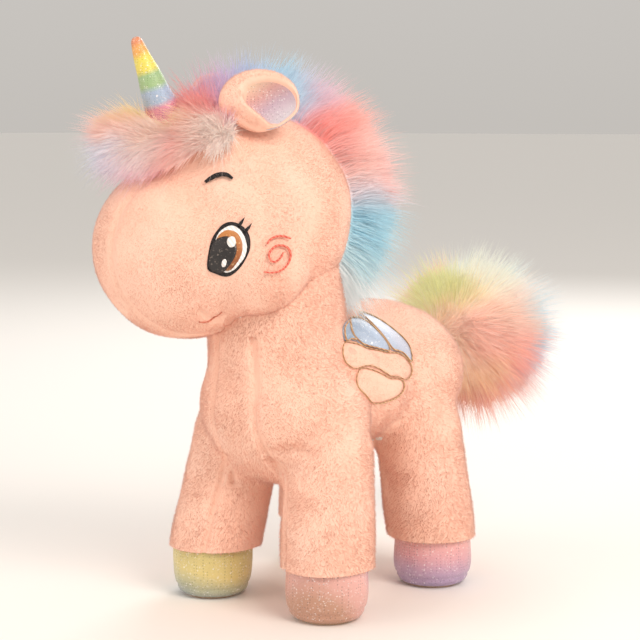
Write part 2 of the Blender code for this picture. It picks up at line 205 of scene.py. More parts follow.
def putInOrder(obj):
    # extrude lists the same points and faces in another order each run, which would move the hairs
    # that are later drawn on them, so both are sorted by place
    mesh = obj.data
    found = points(mesh)
    order = np.lexsort(np.round(found / mm, 3).T)
    newNumber = np.argsort(order)
    faces = []
    for face in mesh.polygons:
        corners = [int(newNumber[i]) for i in face.vertices]
        first = corners.index(min(corners))
        faces.append(corners[first:] + corners[:first])
    mesh.clear_geometry()
    mesh.from_pydata(found[order].tolist(), [], sorted(faces))
    mesh.update()


def lathe(name, profile, matrix, segments=40):
    # rings drawn out of one circle, as (radius, height) pairs from the bottom to the top
    deselect()
    radius, height = profile[0]
    bpy.ops.mesh.primitive_circle_add(
        vertices=segments, radius=max(radius, 0.01) * mm, fill_type="NGON", location=(0, 0, height * mm)
    )
    turned = settle(bpy.context.object)
    turned.name = turned.data.name = name
    bpy.ops.object.mode_set(mode="EDIT")
    bpy.ops.mesh.select_all(action="SELECT")
    for nextRadius, nextHeight in profile[1:]:
        grow = max(nextRadius, 0.01) / max(radius, 0.01)
        bpy.ops.mesh.extrude_region_move(
            TRANSFORM_OT_translate={"value": (0, 0, (nextHeight - height) * mm)}
        )
        bpy.ops.transform.resize(value=(grow, grow, 1), center_override=(0, 0, nextHeight * mm))
        radius, height = nextRadius, nextHeight
    bpy.ops.object.mode_set(mode="OBJECT")
    putInOrder(turned)
    bpy.ops.object.mode_set(mode="EDIT")
    bpy.ops.mesh.select_all(action="SELECT")
    bpy.ops.mesh.remove_doubles(threshold=0.02 * mm)
    bpy.ops.mesh.normals_make_consistent(inside=False)
    bpy.ops.object.mode_set(mode="OBJECT")
    turned.data.transform(matrix)
    return turned


# colours and materials
def toLinear(hexColour):
    values = [int(hexColour[i : i + 2], 16) / 255 for i in (1, 3, 5)]
    return [v / 12.92 if v <= 0.04045 else ((v + 0.055) / 1.055) ** 2.4 for v in values]


def addNode(tree, kind, settings=None, links=None):
    # settings are node properties or input values, links are input: (node, output)
    node = tree.nodes.new(kind)
    for key, value in (settings or {}).items():
        if isinstance(key, str) and hasattr(node, key):
            setattr(node, key, value)
        else:
            node.inputs[key].default_value = value
    for key, (source, output) in (links or {}).items():
        tree.links.new(source.outputs[output], node.inputs[key])
    return node


def newMaterial(name, roughness, **sockets):
    material = bpy.data.materials.new(name)
    material.use_nodes = True
    shader = material.node_tree.nodes["Principled BSDF"]
    shader.inputs["Roughness"].default_value = roughness
    for key, value in sockets.items():
        shader.inputs[key.replace("_", " ")].default_value = value
    return material, material.node_tree, shader


def fillRamp(ramp, stops):
    elements = ramp.color_ramp.elements
    while len(elements) > 1:
        elements.remove(elements[-1])
    elements[0].position = stops[0][0]
    elements[0].color = (*toLinear(stops[0][1]), 1)
    for at, colour in stops[1:]:
        element = elements.new(at)
        element.color = (*toLinear(colour), 1)


def dress(obj, material):
    obj.data.materials.clear()
    obj.data.materials.append(material)
    return obj


plush = {"body": "#FED0BA", "shade": "#FCBEA6", "pale": "#FFDECF", "patch": 26}


def plushMaterial():
    # minky plush: knitted back with a dense brushed pile, so it looks matt, soft and a little mottled
    material, tree, shader = newMaterial(
        "minkyPlush", 0.9, Sheen_Weight=0.35, Sheen_Roughness=0.5, Specular_IOR_Level=0.12
    )
    shader.inputs["Sheen Tint"].default_value = (*toLinear(plush["pale"]), 1)
    where = addNode(tree, "ShaderNodeTexCoord")
    broad = addNode(
        tree,
        "ShaderNodeTexNoise",
        {"Scale": 1000 / plush["patch"], "Detail": 3.0, "Roughness": 0.6},
        {"Vector": (where, "Object")},
    )
    pile = addNode(
        tree, "ShaderNodeTexNoise", {"Scale": 900.0, "Detail": 2.0}, {"Vector": (where, "Object")}
    )
    colours = addNode(tree, "ShaderNodeValToRGB", {}, {"Fac": (broad, "Fac")})
    fillRamp(colours, [(0.25, plush["shade"]), (0.5, plush["body"]), (0.75, plush["pale"])])
    soft = addNode(tree, "ShaderNodeMix", {"data_type": "RGBA", "Factor": 0.25})
    soft.inputs[6].default_value = (*toLinear(plush["body"]), 1)
    tree.links.new(colours.outputs["Color"], soft.inputs[7])
    tree.links.new(soft.outputs[2], shader.inputs["Base Color"])
    bump = addNode(
        tree, "ShaderNodeBump", {"Strength": 0.35, "Distance": 0.0006}, {"Height": (pile, "Fac")}
    )
    tree.links.new(bump.outputs["Normal"], shader.inputs["Normal"])
    return material


def hairMaterial(name, sheen, paintedGlow=0.0):
    # polyester fibre: light passes through it, so each hair is also lit from its far side; its dye, and on
    # the pile its painted shading, is stored on each hair
    # the glow is painted light: the hair emits its own colour, standing in for the light that real pale
    # fibres pass on between them
    material, tree, shader = newMaterial(
        name,
        0.85,
        Sheen_Weight=sheen,
        Sheen_Roughness=0.4,
        Specular_IOR_Level=0.15,
        Emission_Strength=paintedGlow,
    )
    dyeAndShading = addNode(tree, "ShaderNodeAttribute", {"attribute_name": "dyeAndShading"})
    where = addNode(tree, "ShaderNodeTexCoord")
    streak = addNode(
        tree, "ShaderNodeTexNoise", {"Scale": 350.0, "Detail": 2.0}, {"Vector": (where, "Object")}
    )
    level = addNode(
        tree, "ShaderNodeMapRange", {"To Min": 0.86, "To Max": 1.1}, {"Value": (streak, "Fac")}
    )
    tint = addNode(
        tree,
        "ShaderNodeVectorMath",
        {"operation": "SCALE"},
        {0: (dyeAndShading, "Color"), "Scale": (level, "Result")},
    )
    tree.links.new(tint.outputs[0], shader.inputs["Base Color"])
    # painted light: the hair emits its own colour
    if paintedGlow:
        tree.links.new(tint.outputs[0], shader.inputs["Emission Color"])
    # a flat hair is shaded by the skin's direction on both of its faces
    surface = addNode(tree, "ShaderNodeNewGeometry")
    turn = addNode(
        tree, "ShaderNodeMapRange", {"To Min": 1.0, "To Max": -1.0}, {"Value": (surface, "Backfacing")}
    )
    outward = addNode(
        tree,
        "ShaderNodeVectorMath",
        {"operation": "SCALE"},
        {0: (surface, "Normal"), "Scale": (turn, "Result")},
    )
    tree.links.new(outward.outputs[0], shader.inputs["Normal"])
    through = addNode(tree, "ShaderNodeBsdfTranslucent", {}, {"Color": (tint, "Vector")})
    inward = addNode(
        tree, "ShaderNodeVectorMath", {"operation": "SCALE", "Scale": -1.0}, {0: (outward, "Vector")}
    )
    tree.links.new(inward.outputs[0], through.inputs["Normal"])
    both = addNode(tree, "ShaderNodeMixShader", {"Fac": 0.4}, {1: (shader, "BSDF"), 2: (through, "BSDF")})
    tree.links.new(both.outputs[0], tree.nodes["Material Output"].inputs["Surface"])
    return material


# hair
def scatter(mesh, density, keep=None):
    # roots spread evenly over a mesh by area: places, normals
    mesh.calc_loop_triangles()
    count = len(mesh.loop_triangles)
    corners = np.empty(count * 3, int)
    mesh.loop_triangles.foreach_get("vertices", corners)
    corners = corners.reshape(-1, 3)
    spots, normals = points(mesh), vertexNormals(mesh)
    a, b, c = (spots[corners[:, i]] for i in range(3))
    areas = np.linalg.norm(np.cross(b - a, c - a), axis=1) / 2
    total = int(areas.sum() / mm**2 * density)
    chosen = draws.choice(count, total, p=areas / areas.sum())
    u, v = draws.random(total), draws.random(total)
    over = u + v > 1
    u[over], v[over] = 1 - u[over], 1 - v[over]
    mix = np.stack([1 - u - v, u, v], axis=1)[:, :, None]
    roots = (spots[corners[chosen]] * mix).sum(axis=1)
    facing = (normals[corners[chosen]] * mix).sum(axis=1)
    facing /= np.linalg.norm(facing, axis=1, keepdims=True)
    if keep is not None:
        kept = keep(roots, facing)
        roots, facing = roots[kept], facing[kept]
    return roots, facing


def unit(vectors):
    return vectors / np.maximum(np.linalg.norm(vectors, axis=1, keepdims=True), 1e-9)


def growHair(name, roots, facing, lean, length, width, dyeAndShading, droop=0.0, bends=1, shadeMix=0.0):
    # flat tapering hairs; each is shaded like the surface that it grows from, which keeps fur soft
    count = len(roots)
    direction = unit(lean)
    around = unit(np.cross(direction, facing + draws.normal(0, 0.35, (count, 3))))
    length = length.reshape(-1, 1) * mm
    width = np.asarray(width).reshape(-1, 1) * mm * np.ones((count, 1))
    loops = bends * 2 + 1
    block = np.empty((count, loops, 3))
    for i in range(bends + 1):
        part = i / bends
        spot = roots + direction * length * part + np.array((0, 0, -1.0)) * droop * length * part**2
        if i == bends:
            block[:, loops - 1] = spot
            continue
        half = width * (1 - part) ** 0.7 / 2
        block[:, i * 2] = spot - around * half
        block[:, i * 2 + 1] = spot + around * half
    first = np.arange(count)[:, None] * loops
    corners = []
    for i in range(bends - 1):
        corners.append(first + np.array([[i * 2, i * 2 + 1, i * 2 + 3]]))
        corners.append(first + np.array([[i * 2, i * 2 + 3, i * 2 + 2]]))
    corners.append(first + np.array([[bends * 2 - 2, bends * 2 - 1, bends * 2]]))
    faces = np.concatenate(corners)
    mesh = bpy.data.meshes.new(name)
    mesh.vertices.add(count * loops)
    mesh.vertices.foreach_set("co", block.ravel())
    mesh.loops.add(len(faces) * 3)
    mesh.loops.foreach_set("vertex_index", faces.ravel().astype(np.int32))
    mesh.polygons.add(len(faces))
    mesh.polygons.foreach_set("loop_start", np.arange(len(faces), dtype=np.int32) * 3)
    mesh.update(calc_edges=True)
    colour = mesh.attributes.new("dyeAndShading", "FLOAT_COLOR", "POINT")
    values = np.ones((count, loops, 4), np.float32)
    values[:, :, :3] = dyeAndShading[:, None, :]
    colour.data.foreach_set("color", values.ravel())
    mesh.shade_smooth()
    shading = unit(facing * (1 - shadeMix) + direction * shadeMix)
    mesh.normals_split_custom_set_from_vertices(np.repeat(shading, loops, axis=0).tolist())
    hair = bpy.data.objects.new(name, mesh)
    bpy.context.scene.collection.objects.link(hair)
    return hair


def waves(found, scale, seed=0.0):
    # smooth made-up variation in space, three mixed sine fields, each value from -1 to 1
    p = toolSpace(found) / scale + seed
    a = np.sin(p[:, 0] * 1.7 + np.sin(p[:, 1] * 1.3 + seed) * 1.5)
    b = np.sin(p[:, 1] * 1.9 + np.sin(p[:, 2] * 1.1 + seed * 2) * 1.5)
    c = np.sin(p[:, 2] * 1.6 + np.sin(p[:, 0] * 1.4 - seed) * 1.5)
    return np.stack([a, b, c], axis=1)


def dyeFrom(found, anchors, reach):
    # tie-dye: every place takes the colours of the anchors near it
    wobble = toolSpace(found) + waves(found, 14) * 5 + waves(found, 5, 3.1) * 2
    total, weights = np.zeros((len(found), 3)), np.zeros((len(found), 1))
    for spot, colour in anchors:
        away = ((wobble - np.array(spot)) ** 2).sum(axis=1, keepdims=True)
        weight = np.exp(-away / (2 * reach**2)) + 1e-12
        total += weight * np.array(toLinear(colour))
        weights += weight
    return total / weights


print("tools ready")

# the camera comes first, so that every piece is judged in it
camera = {"azimuth": 38.85, "elevation": 6.43, "distance": 0.9874, "lens": 97.8, "aim": (-0.9, -0.7, 155.0)}


def setCamera():
    azimuth, elevation = math.radians(camera["azimuth"]), math.radians(camera["elevation"])
    away = Vector(
        (
            math.sin(azimuth) * math.cos(elevation),
            -math.cos(azimuth) * math.cos(elevation),
            math.sin(elevation),
        )
    )
    deselect()
    bpy.ops.object.camera_add(location=place(*camera["aim"]) + away * camera["distance"])
    made = bpy.context.object
    made.rotation_euler = (-away).to_track_quat("-Z", "Y").to_euler()
    made.data.lens = camera["lens"]
    made.data.sensor_width = 36
    bpy.context.scene.camera = made


setCamera()
print("camera set")


# the body is one soft form, then cut where it bends
body = {
    "voxel": 3.2,
    "neckRadius": 40.0,
    "legRadius": 24.6,
    "cuffRadius": 25.6,
    "cuffHeight": 28.5,
    "legCut": 69.0,  # legs are their own pieces below this height
    "legBendEnd": 44.0,
    "neckCut": (0, -41, 157),
    "neckTilt": 11.0,
    "gussetHalf": 15.0,
    "pressure": 4.0,
    "cap": 2.5,
}
legs = {
    "front_left": ((33.0, -35.0), (41.6, -47.5)),
    "front_right": ((-33.0, -35.0), (-41.6, -47.5)),
    "rear_left": ((35.0, 46.0), (42.5, 50.0)),
    "rear_right": ((-35.0, 46.0), (-42.5, 50.0)),
}


def puff(obj, pressure, cap):
    # blow the closed form up like a stuffed cover, and hold every point within the cap
    before = points(obj.data)
    pick(obj)
    cloth = obj.modifiers.new("cloth", "CLOTH")
    cloth.settings.quality = 4
    cloth.settings.mass = 0.3
    cloth.settings.use_pressure = True
    cloth.settings.uniform_pressure_force = pressure
    cloth.settings.effector_weights.gravity = 0
    cloth.collision_settings.use_collision = False
    scene = bpy.context.scene
    for step in range(1, 15):
        scene.frame_set(step)
    graph = bpy.context.evaluated_depsgraph_get()
    after = points(obj.evaluated_get(graph).data).copy()
    obj.modifiers.remove(cloth)
    scene.frame_set(1)
    move = after - before
    size = np.linalg.norm(move, axis=1, keepdims=True)
    limit = cap * mm
    setPoints(obj.data, before + move / np.maximum(size, 1e-9) * limit * np.tanh(size / limit))
    return obj


def bodyForm():
    heap = [
        addBall(place(0, 46, 121), (54, 55, 42)),
        addBall(place(0, 4, 122), (51, 56, 40)),
        addBall(place(0, -37, 113), (46, 42, 45)),
    ]
    heap += addColumn((0, -36, 130), (0, -43, 184), body["neckRadius"] + 1, body["neckRadius"] - 3)
    for hip, hoof in legs.values():
        heap += addColumn((*hip, 88), (hip[0] * 0.85, hip[1] * 0.9, 108), body["legRadius"] + 1, 25, 3)
        heap += addColumn((*hip, 88), (*hoof, 20), body["legRadius"] + 0.6, body["cuffRadius"] + 0.6, 9)
    return skinOver(heap, "bodyForm", body["voxel"], 9)


def carve(found, facing, distance, depth, halfWidth):
    # a sewn groove where distance (mm) from a seam is near nothing
    dent = depth * np.exp(-((distance / halfWidth) ** 2))
    return found - facing * dent[:, None] * mm


def bodySeams(found, facing):
    # (distance in mm, depth, half width) of each sewn line; 50 mm is added where a line isn't sewn
    p = toolSpace(found)
    low = np.clip((165 - p[:, 2]) / 12, 0, 1) * np.clip((40 - p[:, 1]) / 10, 0, 1)
    front = (facing[:, 1] < 0.55) * low
    narrow = body["gussetHalf"] + np.clip((120 - p[:, 2]) / 60, -0.4, 0.6) * 4
    gusset = np.abs(np.abs(p[:, 0]) - narrow)
    underneath = (p[:, 2] > 66) * front
    lines = [(gusset + (1 - underneath) * 50, 2.4, 1.9)]
    # the seam down the front of each leg
    for hip, hoof in legs.values():
        part = np.clip((p[:, 2] - 28) / 60, 0, 1.15)
        middle = np.array(hoof)[None, :] + (np.array(hip) - np.array(hoof))[None, :] * part[:, None]
        side = np.sign(hip[0])
        way = np.array((-side * 0.5, -0.87 if hip[1] < 0 else 0.87))
        flat = p[:, :2] - middle
        outward = flat @ way
        across = np.abs(flat @ np.array((way[1], -way[0])))
        near = (outward > 6) & (outward < 40) & (p[:, 2] < 86) & (across < 12)
        lines.append((across + (~near) * 50, 1.8, 1.6))
    # the seam over the rump
    back = (p[:, 1] > 18) & (facing[:, 2] > -0.2)
    lines.append((np.abs(p[:, 0]) + (~back) * 50, 1.6, 1.6))
    return lines


def sew(found, facing, lines):
    for distance, depth, halfWidth in lines:
        found = carve(found, facing, distance, depth, halfWidth)
    return found


def softLumps(found, facing, depth, scale, seed):
    # uneven stuffing
    bulge = waves(found, scale, seed).sum(axis=1) / 3 * depth * mm
    return found + facing * bulge[:, None]


def bodyFolds(found, facing):
    # creases: behind the neck and at the top of each front leg
    p = toolSpace(found)
    folds = (
        ((27, -12, 150), (0.25, 0.55, 0.8), 26, 1.6, 3.2),
        ((40, -6, 143), (0.5, 0.6, 0.6), 22, 1.1, 3.0),
        ((48, -14, 96), (0.3, 0.5, 0.8), 15, 1.7, 2.8),
        ((-48, -14, 96), (-0.3, 0.5, 0.8), 15, 1.7, 2.8),
        ((30, -62, 92), (0.1, -0.35, 0.93), 16, 1.4, 2.8),
        ((52, 22, 98), (0.2, -0.5, 0.84), 15, 1.3, 3.0),
        ((-52, 22, 98), (-0.2, -0.5, 0.84), 15, 1.3, 3.0),
    )
    for spot, way, reach, depth, halfWidth in folds:
        away = p - np.array(spot)
        way = np.array(way) / np.linalg.norm(way)
        distance = np.abs(away @ way + waves(found, 16, spot[0])[:, 0] * 1.2)
        fade = np.exp(-((np.linalg.norm(away, axis=1) / reach) ** 2))
        dent = depth * np.exp(-((distance / halfWidth) ** 2)) * fade
        found = found - facing * dent[:, None] * mm
    return found


def refine(obj, rounds=1):
    divide = obj.modifiers.new("finer", "SUBSURF")
    divide.levels = divide.render_levels = rounds
    return applyAll(obj)


def rememberNormals(obj):
    # kept with each point, so that the pieces still shade as one after they are cut apart
    kept = obj.data.attributes.new("oldNormal", "FLOAT_VECTOR", "POINT")
    kept.data.foreach_set("vector", vertexNormals(obj.data).astype(np.float32).ravel())


def useNormals(obj):
    kept = obj.data.attributes["oldNormal"]
    values = np.empty(len(obj.data.vertices) * 3, np.float32)
    kept.data.foreach_get("vector", values)
    obj.data.attributes.remove(kept)
    obj.data.shade_smooth()
    obj.data.normals_split_custom_set_from_vertices(unit(values.reshape(-1, 3)).tolist())


def cutAway(obj, spot, way):
    # drop what lies on the side that way points to, and close the cut
    pick(obj)
    bpy.ops.object.mode_set(mode="EDIT")
    bpy.ops.mesh.select_all(action="SELECT")
    bpy.ops.mesh.bisect(plane_co=spot, plane_no=way, clear_outer=True, use_fill=True)
    bpy.ops.object.mode_set(mode="OBJECT")
    return obj


def twin(obj, name):
    copied = obj.copy()
    copied.data = obj.data.copy()
    copied.name = copied.data.name = name
    bpy.context.scene.collection.objects.link(copied)
    return copied


def neckWay():
    tilt = math.radians(body["neckTilt"])
    return Vector((0, -math.sin(tilt), math.cos(tilt)))


def buildBody():
    form = bodyForm()
    puff(form, body["pressure"], body["cap"])
    found = softLumps(points(form.data), vertexNormals(form.data), 0.7, 13, 0.4)
    setPoints(form.data, found)
    refine(form)
    facing = vertexNormals(form.data)
    setPoints(form.data, bodyFolds(points(form.data), facing))
    facing = vertexNormals(form.data)
    setPoints(form.data, sew(points(form.data), facing, bodySeams(points(form.data), facing)))
    rememberNormals(form)
    pieces = {}
    for name, (hip, hoof) in legs.items():
        leg = twin(form, "plushLeg_" + name)
        cutAway(leg, place(0, 0, body["legCut"]), (0, 0, 1))
        cutAway(leg, place(0, 0, body["cuffHeight"]), (0, 0, -1))
        cutAway(leg, place(0, 5, 0), (0, -1 if hip[1] > 0 else 1, 0))
        cutAway(leg, place(0, 0, 0), (-1 if hip[0] > 0 else 1, 0, 0))
        pieces[name] = leg
    neck = twin(form, "plushNeck")
    spot = place(*body["neckCut"])
    cutAway(neck, spot, -neckWay())
    torso = form
    torso.name = torso.data.name = "plushTorso"
    cutAway(torso, spot, neckWay())
    cutAway(torso, place(0, 0, body["legCut"]), (0, 0, -1))
    pieces["neck"], pieces["torso"] = neck, torso
    for piece in pieces.values():
        useNormals(piece)
    return pieces


pink = plushMaterial()
pieces = buildBody()
torso, neck = pieces["torso"], pieces["neck"]


def fitTorso(obj):
    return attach(obj, "torso")


def fitNeck(obj):
    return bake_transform(obj)


def fitLeg(obj):
    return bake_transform(obj)


dress(torso, pink)
fitTorso(torso)
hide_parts("torso_side_left", "torso_side_right", "chest_belly_gusset")
dress(neck, pink)
fitNeck(neck)
for name in legs:
    dress(pieces[name], pink)
    fitLeg(pieces[name])
    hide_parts(f"leg_{name}_cover")
print("body, neck and legs")


head = {
    "skull": ((17, 0, 217), (51, 58.5, 57.5)),
    "muzzle": ((51, 0, 199.5), (44, 50, 49)),
    "cheek": ((22, 26, 194), (32, 30, 30)),
    "gussetHalf": 16.0,
    "voxel": 3.2,
}


def headSeams(found, facing):
    # the gusset runs from between the ears over the muzzle to the chin, with a crease at each jaw corner
    h = headSpace(found)
    front = (h[:, 0] > -5) & (h[:, 2] < 262)
    lines = [(np.abs(np.abs(h[:, 1]) - head["gussetHalf"]) + (~front) * 50, 1.6, 1.7)]
    for side in (1, -1):
        away = h - np.array((47.5, 38.0 * side, 164.5))
        across = np.abs(away[:, 2] - 0.4 * away[:, 0] - 0.035 * away[:, 0] ** 2)
        near = (np.abs(away[:, 0]) < 8) & (np.abs(away[:, 1]) < 24)
        lines.append((across + (~near) * 50, 1.8, 1.8))
    return lines


def buildHead():
    turn = (0, 0, -headTurn)
    heap = []
    for key in ("skull", "muzzle"):
        spot, radii = head[key]
        heap.append(addBall(headPlace(*spot), radii, turn))
    (forward, left, up), radii = head["cheek"]
    for side in (1, -1):
        heap.append(addBall(headPlace(forward, left * side, up), radii, turn))
    form = skinOver(heap, "plushHead", head["voxel"], 12)
    puff(form, body["pressure"], 1.5)
    setPoints(form.data, softLumps(points(form.data), vertexNormals(form.data), 0.6, 15, 1.7))
    refine(form)
    found, facing = points(form.data), vertexNormals(form.data)
    setPoints(form.data, sew(found, facing, headSeams(found, facing)))
    smoothShade(form)
    return form


headSkin = buildHead()
dress(headSkin, pink)
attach(headSkin, "head")
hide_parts("head_side_left", "head_side_right", "head_gusset")
print("head")


def treeOf(obj):
    mesh = obj.data
    mesh.calc_loop_triangles()
    return BVHTree.FromPolygons(
        [v.co for v in mesh.vertices], [tuple(t.vertices) for t in mesh.loop_triangles]
    )


headTree = treeOf(headSkin)
torsoTree = treeOf(torso)
neckTree = treeOf(neck)


# embroidery and wings are laid on the skin from the side
def onHead(side):
    # (forward, up) on the left or right of the head: the spot on the skin and its normal
    def drop(forward, up):
        start = headPlace(forward, 95 * side, up)
        way = Vector(toLeft) * -side
        spot, normal, _, _ = headTree.ray_cast(start, way)
        if spot is None:
            spot, normal, _, _ = headTree.find_nearest(headPlace(forward, 40 * side, up))
        return spot, normal

    return drop


def onTorso(side):
    def drop(forward, up):
        start = place(95 * side, -forward, up)
        spot, normal, _, _ = torsoTree.ray_cast(start, Vector((-side, 0, 0)))
        if spot is None:
            spot, normal, _, _ = torsoTree.find_nearest(place(50 * side, -forward, up))
        return spot, normal

    return drop


def smoothLoop(outline, count):
    # a closed curve through the outline's points
    corners = np.array(outline, float)
    size = len(corners)
    found = []
    for i in range(count):
        at = i * size / count
        k, t = int(at), at - int(at)
        a, b, c, d = (corners[(k + j) % size] for j in (-1, 0, 1, 2))
        spot = 0.5 * (
            2 * b + (c - a) * t + (2 * a - 5 * b + 4 * c - d) * t**2 + (3 * b - a - 3 * c + d) * t**3
        )
        found.append(spot)
    return np.array(found)


def meshPiece(name, spots, faces):
    mesh = bpy.data.meshes.new(name)
    mesh.from_pydata([tuple(spot) for spot in spots], [], faces)
    made = bpy.data.objects.new(name, mesh)
    bpy.context.scene.collection.objects.link(made)
    pick(made)
    bpy.ops.object.mode_set(mode="EDIT")
    bpy.ops.mesh.select_all(action="SELECT")
    bpy.ops.mesh.normals_make_consistent(inside=False)
    bpy.ops.object.mode_set(mode="OBJECT")
    mesh.shade_smooth()
    return made


def patch(name, outline, drop, lift, puffUp, count=44, rings=7):
    # a closed pad with this outline: a crowned face, a side wall and a back sunk in the pile
    loop = smoothLoop(outline, count)
    middle = loop.mean(axis=0)
    spots, faces = [], []
    levels = [(part / rings, lift + puffUp * (1 - (part / rings) ** 4)) for part in range(rings, 0, -1)]
    rows = [(1.0, lift - 1.8), *levels]
    for part, height in rows:
        for spot in middle + (loop - middle) * part:
            at, normal = drop(*spot)
            spots.append(at + normal * height * mm)
    at, normal = drop(*middle)
    spots.append(at + normal * (lift + puffUp) * mm)
    centre = len(spots) - 1
    at, normal = drop(*middle)
    spots.append(at + normal * (lift - 1.8) * mm)
    back = len(spots) - 1
    for row in range(len(rows) - 1):
        for i in range(count):
            a, b = row * count + i, row * count + (i + 1) % count
            faces.append((a, b, b + count, a + count))
    last = (len(rows) - 1) * count
    for i in range(count):
        faces.append((last + i, last + (i + 1) % count, centre))
        faces.append((i, back, (i + 1) % count))
    return meshPiece(name, spots, faces)


def cordOn(name, line, halfWidths, drop, lift, high, sides=8, fine=3):
    # a raised satin-stitch line along (forward, up) points, tapering as its half widths do
    line = np.array(line, float)
    steps = (len(line) - 1) * fine + 1
    at = np.linspace(0, len(line) - 1, steps)
    path = np.stack([np.interp(at, range(len(line)), line[:, i]) for i in (0, 1)], axis=1)
    for _ in range(2):
        path[1:-1] = (path[:-2] + path[1:-1] * 2 + path[2:]) / 4
    wide = np.interp(at, np.linspace(0, len(line) - 1, len(halfWidths)), halfWidths)
    spots, faces = [], []
    for i in range(steps):
        along = path[min(i + 1, steps - 1)] - path[max(i - 1, 0)]
        across = np.array((-along[1], along[0])) / max(np.linalg.norm(along), 1e-9)
        for k in range(sides):
            a = math.tau * k / sides
            x, y = path[i] + across * wide[i] * math.cos(a)
            spot, normal = drop(x, y)
            spots.append(spot + normal * (lift + high * math.sin(a)) * mm)
    for i in range(steps - 1):
        for k in range(sides):
            a, b = i * sides + k, i * sides + (k + 1) % sides
            faces.append((a, b, b + sides, a + sides))
    faces.append(tuple(range(sides))[::-1])
    faces.append(tuple((steps - 1) * sides + k for k in range(sides)))
    return meshPiece(name, spots, faces)


print("skins ready for needlework")


def threadMaterial(name, colour, paintedCrownHighlight, pitch=0.8):
    # rayon embroidery thread: satin stitches side by side, drawn a little coarser than the real 0.4 mm
    material, tree, shader = newMaterial(
        name, 0.5, Sheen_Weight=0.3, Sheen_Roughness=0.35, Specular_IOR_Level=0.35
    )
    where = addNode(tree, "ShaderNodeTexCoord")
    stitch = addNode(
        tree,
        "ShaderNodeTexWave",
        {"Scale": 1000 / pitch / 6.28, "Distortion": 1.5, "Detail": 1.0, "bands_direction": "DIAGONAL"},
        {"Vector": (where, "Object")},
    )
    # painted shade and highlight: each stitch is darker in its groove and lighter on its crown, on the same
    # wave as the bump
    colours = addNode(tree, "ShaderNodeValToRGB", {}, {"Fac": (stitch, "Fac")})
    fillRamp(colours, [(0.0, colour), (1.0, paintedCrownHighlight)])
    tree.links.new(colours.outputs["Color"], shader.inputs["Base Color"])
    bump = addNode(
        tree, "ShaderNodeBump", {"Strength": 0.4, "Distance": 0.0003}, {"Height": (stitch, "Fac")}
    )
    tree.links.new(bump.outputs["Normal"], shader.inputs["Normal"])
    return material


def glitterMaterial(name, stops, start, way, dots=1.0, speck="#FFFFFF", rough=0.42, wander=0.07):
    # glitter cloth: a dyed film with flakes and a grid of tiny printed dots, so it sparkles in points
    material, tree, shader = newMaterial(name, rough, Specular_IOR_Level=0.6, Coat_Roughness=0.25)
    shader.inputs["Coat Weight"].default_value = 0.25
    where = addNode(tree, "ShaderNodeTexCoord")
    wobble = addNode(
        tree, "ShaderNodeTexNoise", {"Scale": 90.0, "Detail": 3.0}, {"Vector": (where, "Object")}
    )
    moved = addNode(tree, "ShaderNodeVectorMath", {"operation": "SUBTRACT"}, {0: (where, "Object")})
    moved.inputs[1].default_value = tuple(start)
    along = addNode(tree, "ShaderNodeVectorMath", {"operation": "DOT_PRODUCT"}, {0: (moved, "Vector")})
    along.inputs[1].default_value = tuple(Vector(way) / Vector(way).length_squared)
    nudge = addNode(
        tree, "ShaderNodeMapRange", {"To Min": -wander, "To Max": wander}, {"Value": (wobble, "Fac")}
    )
    total = addNode(
        tree, "ShaderNodeMath", {"operation": "ADD"}, {0: (along, "Value"), 1: (nudge, "Result")}
    )
    colours = addNode(tree, "ShaderNodeValToRGB", {}, {"Fac": (total, "Value")})
    fillRamp(colours, stops)
    flakes = addNode(
        tree, "ShaderNodeTexVoronoi", {"Scale": 1500.0, "feature": "F1"}, {"Vector": (where, "Object")}
    )
    bright = addNode(
        tree,
        "ShaderNodeMapRange",
        {"From Min": 0.78, "From Max": 0.97, "To Min": 0.0, "To Max": 0.75},
        {"Value": (flakes, "Color")},
    )
    holes = addNode(
        tree,
        "ShaderNodeTexVoronoi",
        {"Scale": 1000 / dots, "feature": "F1", "Randomness": 0.25},
        {"Vector": (where, "Object")},
    )
    dot = addNode(
        tree,
        "ShaderNodeMapRange",
        {"From Min": 0.14, "From Max": 0.3, "To Min": 0.62, "To Max": 1.0},
        {"Value": (holes, "Distance")},
    )
    dotted = addNode(
        tree,
        "ShaderNodeVectorMath",
        {"operation": "SCALE"},
        {0: (colours, "Color"), "Scale": (dot, "Result")},
    )
    glint = addNode(tree, "ShaderNodeMix", {"data_type": "RGBA"}, {0: (bright, "Result"), 6: (dotted, 0)})
    glint.inputs[7].default_value = (*toLinear(speck), 1)
    tree.links.new(glint.outputs[2], shader.inputs["Base Color"])
    tree.links.new(bright.outputs["Result"], shader.inputs["Metallic"])
    bump = addNode(
        tree, "ShaderNodeBump", {"Strength": 0.5, "Distance": 0.0003}, {"Height": (flakes, "Distance")}
    )
    tree.links.new(bump.outputs["Normal"], shader.inputs["Normal"])
    return material


